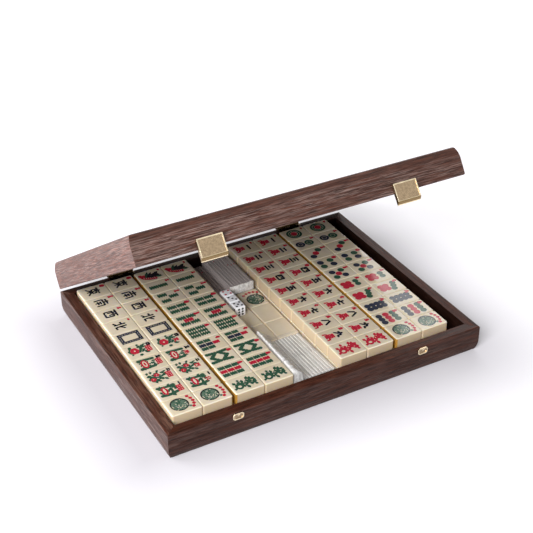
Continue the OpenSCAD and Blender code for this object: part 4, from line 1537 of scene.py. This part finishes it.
# %% Creases and sheets
def crease(x, y, along, seed):
    """Height of the film's creases in -1..1; along is how far they are drawn out along Y."""
    coarse = noise.noise(Vector((x * 0.45, y * 0.45 / along, seed)))
    fine = noise.noise(Vector((x * 1.3, y * 1.3 / along, seed + 7)))
    return 0.65 * coarse + 0.35 * fine


def sheet(columns, rows, point, paint_at=None):
    """A sheet of columns by rows faces; point(s, t) gives its place for s and t in 0..1."""
    shape = Shape()
    points = [point(i / columns, j / rows) for j in range(rows + 1) for i in range(columns + 1)]
    stride = columns + 1
    faces, film_kinds = [], []
    for j in range(rows):
        for i in range(columns):
            low, high = j * stride + i, (j + 1) * stride + i
            faces.append((low, low + 1, high + 1, high))
            film_kinds.append(paint_at(i / columns, j / rows) if paint_at else 0)
    shape.add(points, faces, film_kinds)
    return shape


print("a crease in the film:", round(crease(1, 1, 7, 1), 3))

# %% [markdown]
# ## The front bag
# A bag's section goes up its left side, over the top and down its right side. One function
# gives the height of that section anywhere, so the roll along the left, the slope from there
# to the sticks and the fall of the film at the front end are all one sheet without a seam.

# %% Front bag
CLEAR, MILKY, ROLLED = range(3)
# Share of the section that each upright side takes up
FRONT_SIDE = 0.12
# Share of the top that is rolled up, at the back end and at the front, and where the slope ends
ROLL_BEHIND = 0.03
ROLL_AHEAD = 0.10
SLOPE_END = 0.42
# How far the bag reaches past the sticks at the front, and how much longer it is than they are
FRONT_REACH = 5.2
LONGER = 9.5
ABOVE_STICKS = 0.75
tile_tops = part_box("tiles_block_2_upper")[1].z / MM


def roll_width(t):
    """Share of the bag's width that is rolled up; it grows towards the front end, t = 0."""
    return ROLL_AHEAD + (ROLL_BEHIND - ROLL_AHEAD) * t + 0.02 * crease(0, 70 * t, 2, 11)


def front_folds(s, t):
    """Which film lies there: clear, milky where it is folded, or white where it is rolled up."""
    share = (s - FRONT_SIDE) / (1 - 2 * FRONT_SIDE)
    if 0 <= share < roll_width(t) or (t < 0.05 and share < 0.22):
        return ROLLED
    return MILKY if share < SLOPE_END or t < 0.07 else CLEAR


def front_bag(s, t):
    """Section of the front bag by s from its left foot over the top, and t from the front."""
    y = front_lo.y - FRONT_REACH + t * (stick_measures[1] + LONGER)
    ahead_of_sticks = max(0.0, front_lo.y - y)
    spread = FRONT_FAN * max(0.0, 1 - t * 1.05)
    left, right = front_lo.x - 0.7 - spread, front_hi.x + 0.5 + spread
    top = front_hi.z + ABOVE_STICKS - 1.9 * ahead_of_sticks
    bottom = front_lo.z
    # The rolled side stands as high as the tiles, unevenly, and falls off at the front end
    ridge = (tile_tops - top) * (1 + 0.16 * crease(0, y, 2, 5)) * min(1, 0.3 + t / 0.08)
    if s < FRONT_SIDE:
        share = s / FRONT_SIDE
        place = Vector((left, y, bottom + share * (top + ridge - bottom)))
    elif s > 1 - FRONT_SIDE:
        share = (s - 1 + FRONT_SIDE) / FRONT_SIDE
        place = Vector((right + 0.3 * math.sin(math.pi * share), y, top - share * (top - bottom)))
    else:
        share = (s - FRONT_SIDE) / (1 - 2 * FRONT_SIDE)
        place = Vector((left + share * (right - left), y, top))
        roll = roll_width(t)
        bulge = 0.5 * math.sin(math.pi * min(1, share / roll))
        bulge *= 1 + 0.8 * crease(share * 60, y, 2, 6)
        slope = min(1, max(0, (SLOPE_END - share) / (SLOPE_END - roll)))
        place.z += ridge * slope + bulge + 0.3 * abs(crease(place.x, y, 7, 1))
    place.x += 0.25 * crease(y, s * 60, 1, 9) * (0.3 + ahead_of_sticks / 5)
    return place


bag = sheet(90, 64, front_bag, front_folds)
bag.build("film_front", "clear_film", [film, milky, crumpled], "front_stick_film", 180)

# %% [markdown]
# ## The back bag
# The back bag is drawn tight over the tall stack. Its end is gathered in front of the sticks,
# above the middle tiles, so a second sheet bulges there in deep folds and is all white.

# %% Back bag
BACK_SIDE = 0.2


def back_bag(s, t):
    """Section of the back bag by s from its left foot over the top, and t from the front."""
    left, right = tall_x - 0.35, back_hi.x + 0.35
    y = back_lo.y + 0.2 + t * (stick_measures[1] - 0.6)
    top = back_hi.z + 0.25
    if s < BACK_SIDE:
        share = s / BACK_SIDE
        place = Vector((left, y, back_lo.z + share * (top - back_lo.z)))
    elif s > 1 - BACK_SIDE:
        share = (s - 1 + BACK_SIDE) / BACK_SIDE
        place = Vector((right, y, top - share * (top - back_lo.z)))
    else:
        share = (s - BACK_SIDE) / (1 - 2 * BACK_SIDE)
        place = Vector((left + share * (right - left), y, top))
        place.z += 0.35 * abs(crease(place.x, y, 8, 3))
    return place


def gathered_end(s, t):
    """The bag's gathered end in front of the back sticks, above the middle tiles."""
    x = tall_x - 0.3 + s * (back_hi.x - tall_x + 0.6)
    z = centre_hi.z + 0.3 + t * (back_hi.z - centre_hi.z + 0.4)
    bulge = math.sin(math.pi * min(1, 0.15 + t)) * math.sin(math.pi * (0.08 + 0.84 * s))
    folds = abs(crease(x * 2.4, z * 2.0, 1, 2))
    y = back_lo.y - 0.2 - 2.4 * bulge * (0.4 + folds) - 1.7 * folds
    return Vector((x, y, z - 1.1 * folds * t))


bag = sheet(60, 40, back_bag)
bag.merge(sheet(56, 26, gathered_end, lambda s, t: 1))
bag.build("film_back", "clear_film", [film, crumpled], "back_stick_film", 180)

# %% [markdown]
# ## Floor
# A catalogue picture has no horizon: the floor and the air behind it are the same white. The
# floor is therefore partly self-lit for the camera and for reflections, so that it is white
# in the open, and partly a plain pale surface, which is the part that a shadow can darken.
# Close to the case it glows less, as a painted shadow where the case keeps light from it.

# %% Floor
WHITE = (1, 1, 1)
FLOOR_COLOUR = (0.63, 0.61, 0.655)
FLOOR_SIZE = 12
# The floor's own light as seen from outside: beside the case, where the low glow is its painted
# shadow, and from this far off on
GLOW_NEAR = 0.07
GLOW_FAR = 0.55
GLOW_REACH = 0.115
# The painted shadow lies this far to the left of the case's middle, towards the key light
GLOW_SHIFT = 0.018
# Past the lamps' reach the floor glows by this much more, so that no grey strip shows
HORIZON = (0.9, 2.6)
HORIZON_GLOW = 0.45


def seen_directly(finish):
    """1 for rays from the camera and for those that a glossy or clear surface sends on."""
    path = finish.add("ShaderNodeLightPath")
    seen = finish.add(
        "ShaderNodeMath", {0: path.outputs["Is Camera Ray"], 1: path.outputs["Is Glossy Ray"]},
        operation="MAXIMUM",
    )
    return finish.add(
        "ShaderNodeMath", {0: seen, 1: path.outputs["Is Transmission Ray"]}, operation="MAXIMUM"
    )


floor_finish = Finish("pale floor")
floor_finish.shade(Base_Color=(*FLOOR_COLOUR, 1), Roughness=0.9, Specular_IOR_Level=0.0)
floor_finish.shade(Emission_Color=(*WHITE, 1))
# How far a point lies outside the case; along Y that counts from its hollow, a board further in
outward = floor_finish.add(
    "ShaderNodeVectorMath", {0: floor_finish.coordinates(place=(GLOW_SHIFT, 0, 0))},
    operation="ABSOLUTE",
)
outside = floor_finish.add(
    "ShaderNodeVectorMath", {0: outward, 1: (cad_hi[0], hollow_half[1], 0)}, operation="SUBTRACT"
)
beside = floor_finish.add("ShaderNodeVectorMath", {0: outside, 1: (0, 0, 0)}, operation="MAXIMUM")
length = floor_finish.add("ShaderNodeVectorMath", {0: beside}, operation="LENGTH")
distance = length.outputs["Value"]
# Less glow close to the case: the painted shadow
nearby = floor_finish.levels(distance, 0, GLOW_REACH, GLOW_NEAR, GLOW_FAR)
horizon = floor_finish.levels(distance, *HORIZON, 0, HORIZON_GLOW)
spread = floor_finish.add("ShaderNodeMath", {0: nearby, 1: horizon}, operation="ADD")
glow = floor_finish.add(
    "ShaderNodeMath", {0: seen_directly(floor_finish), 1: spread}, operation="MULTIPLY"
)
floor_finish.shade(Emission_Strength=glow)
bpy.ops.mesh.primitive_grid_add(x_subdivisions=8, y_subdivisions=8, size=FLOOR_SIZE)
floor = bpy.context.object
floor.name = "floor"
dress(floor, floor_finish)
print("floor in metres:", tuple(round(x, 2) for x in floor.dimensions[:2]))

# %% [markdown]
# ## Studio light
# Three soft boxes and a white room. The strong one at the front left is the key: it models the
# boards and leaves the soft shadow to the right. A low one at the back left lights the left
# ends of the lid and the base, and a weaker one behind on the right is what the polished tiles
# there mirror past the end of the lid. Nothing shines from straight above, so the rows of
# tiles under the lid stay in its shade. The room is white to the camera, in mirrors and
# through the film, but gives the surfaces only a mild, even light.

# %% Lights
AMBIENT = 0.28


def soft_box(name, place, target, size, radiance):
    """A square lamp at a place that faces its target; radiance 1 would show as white."""
    lamp = bpy.data.lights.new(name, "AREA")
    lamp.shape = "SQUARE"
    lamp.size = size
    lamp.energy = radiance * math.pi * size * size
    obj = bpy.data.objects.new(name, lamp)
    obj.location = place
    obj.rotation_euler = (Vector(target) - Vector(place)).to_track_quat("-Z", "Y").to_euler()
    bpy.context.scene.collection.objects.link(obj)


soft_box("key light", (-1.30, -1.06, 1.14), (0, -0.05, 0.03), size=0.95, radiance=15.9)
soft_box("left light", (-1.35, 1.0, 0.5), (0, 0, 0.05), size=1.2, radiance=5.0)
soft_box("right light", (1.0, 1.35, 0.95), (0.1, 0, 0.03), size=1.3, radiance=1.8)

# %% White room
world = bpy.data.worlds.new("white room")
world.use_nodes = True
bpy.context.scene.world = world
background = world.node_tree.nodes["Background"]
background.inputs["Color"].default_value = (*WHITE, 1)
path = world.node_tree.nodes.new("ShaderNodeLightPath")
direct = world.node_tree.nodes.new("ShaderNodeMath")
direct.operation = "MAXIMUM"
clear = world.node_tree.nodes.new("ShaderNodeMath")
clear.operation = "MAXIMUM"
strength = world.node_tree.nodes.new("ShaderNodeMapRange")
strength.inputs["To Min"].default_value = AMBIENT
strength.inputs["To Max"].default_value = 1.0
links = world.node_tree.links
links.new(path.outputs["Is Camera Ray"], direct.inputs[0])
links.new(path.outputs["Is Glossy Ray"], direct.inputs[1])
links.new(direct.outputs[0], clear.inputs[0])
links.new(path.outputs["Is Transmission Ray"], clear.inputs[1])
links.new(clear.outputs[0], strength.inputs[0])
links.new(strength.outputs[0], background.inputs["Strength"])
bpy.context.scene.view_settings.view_transform = "Standard"
print("room's light on surfaces:", AMBIENT)
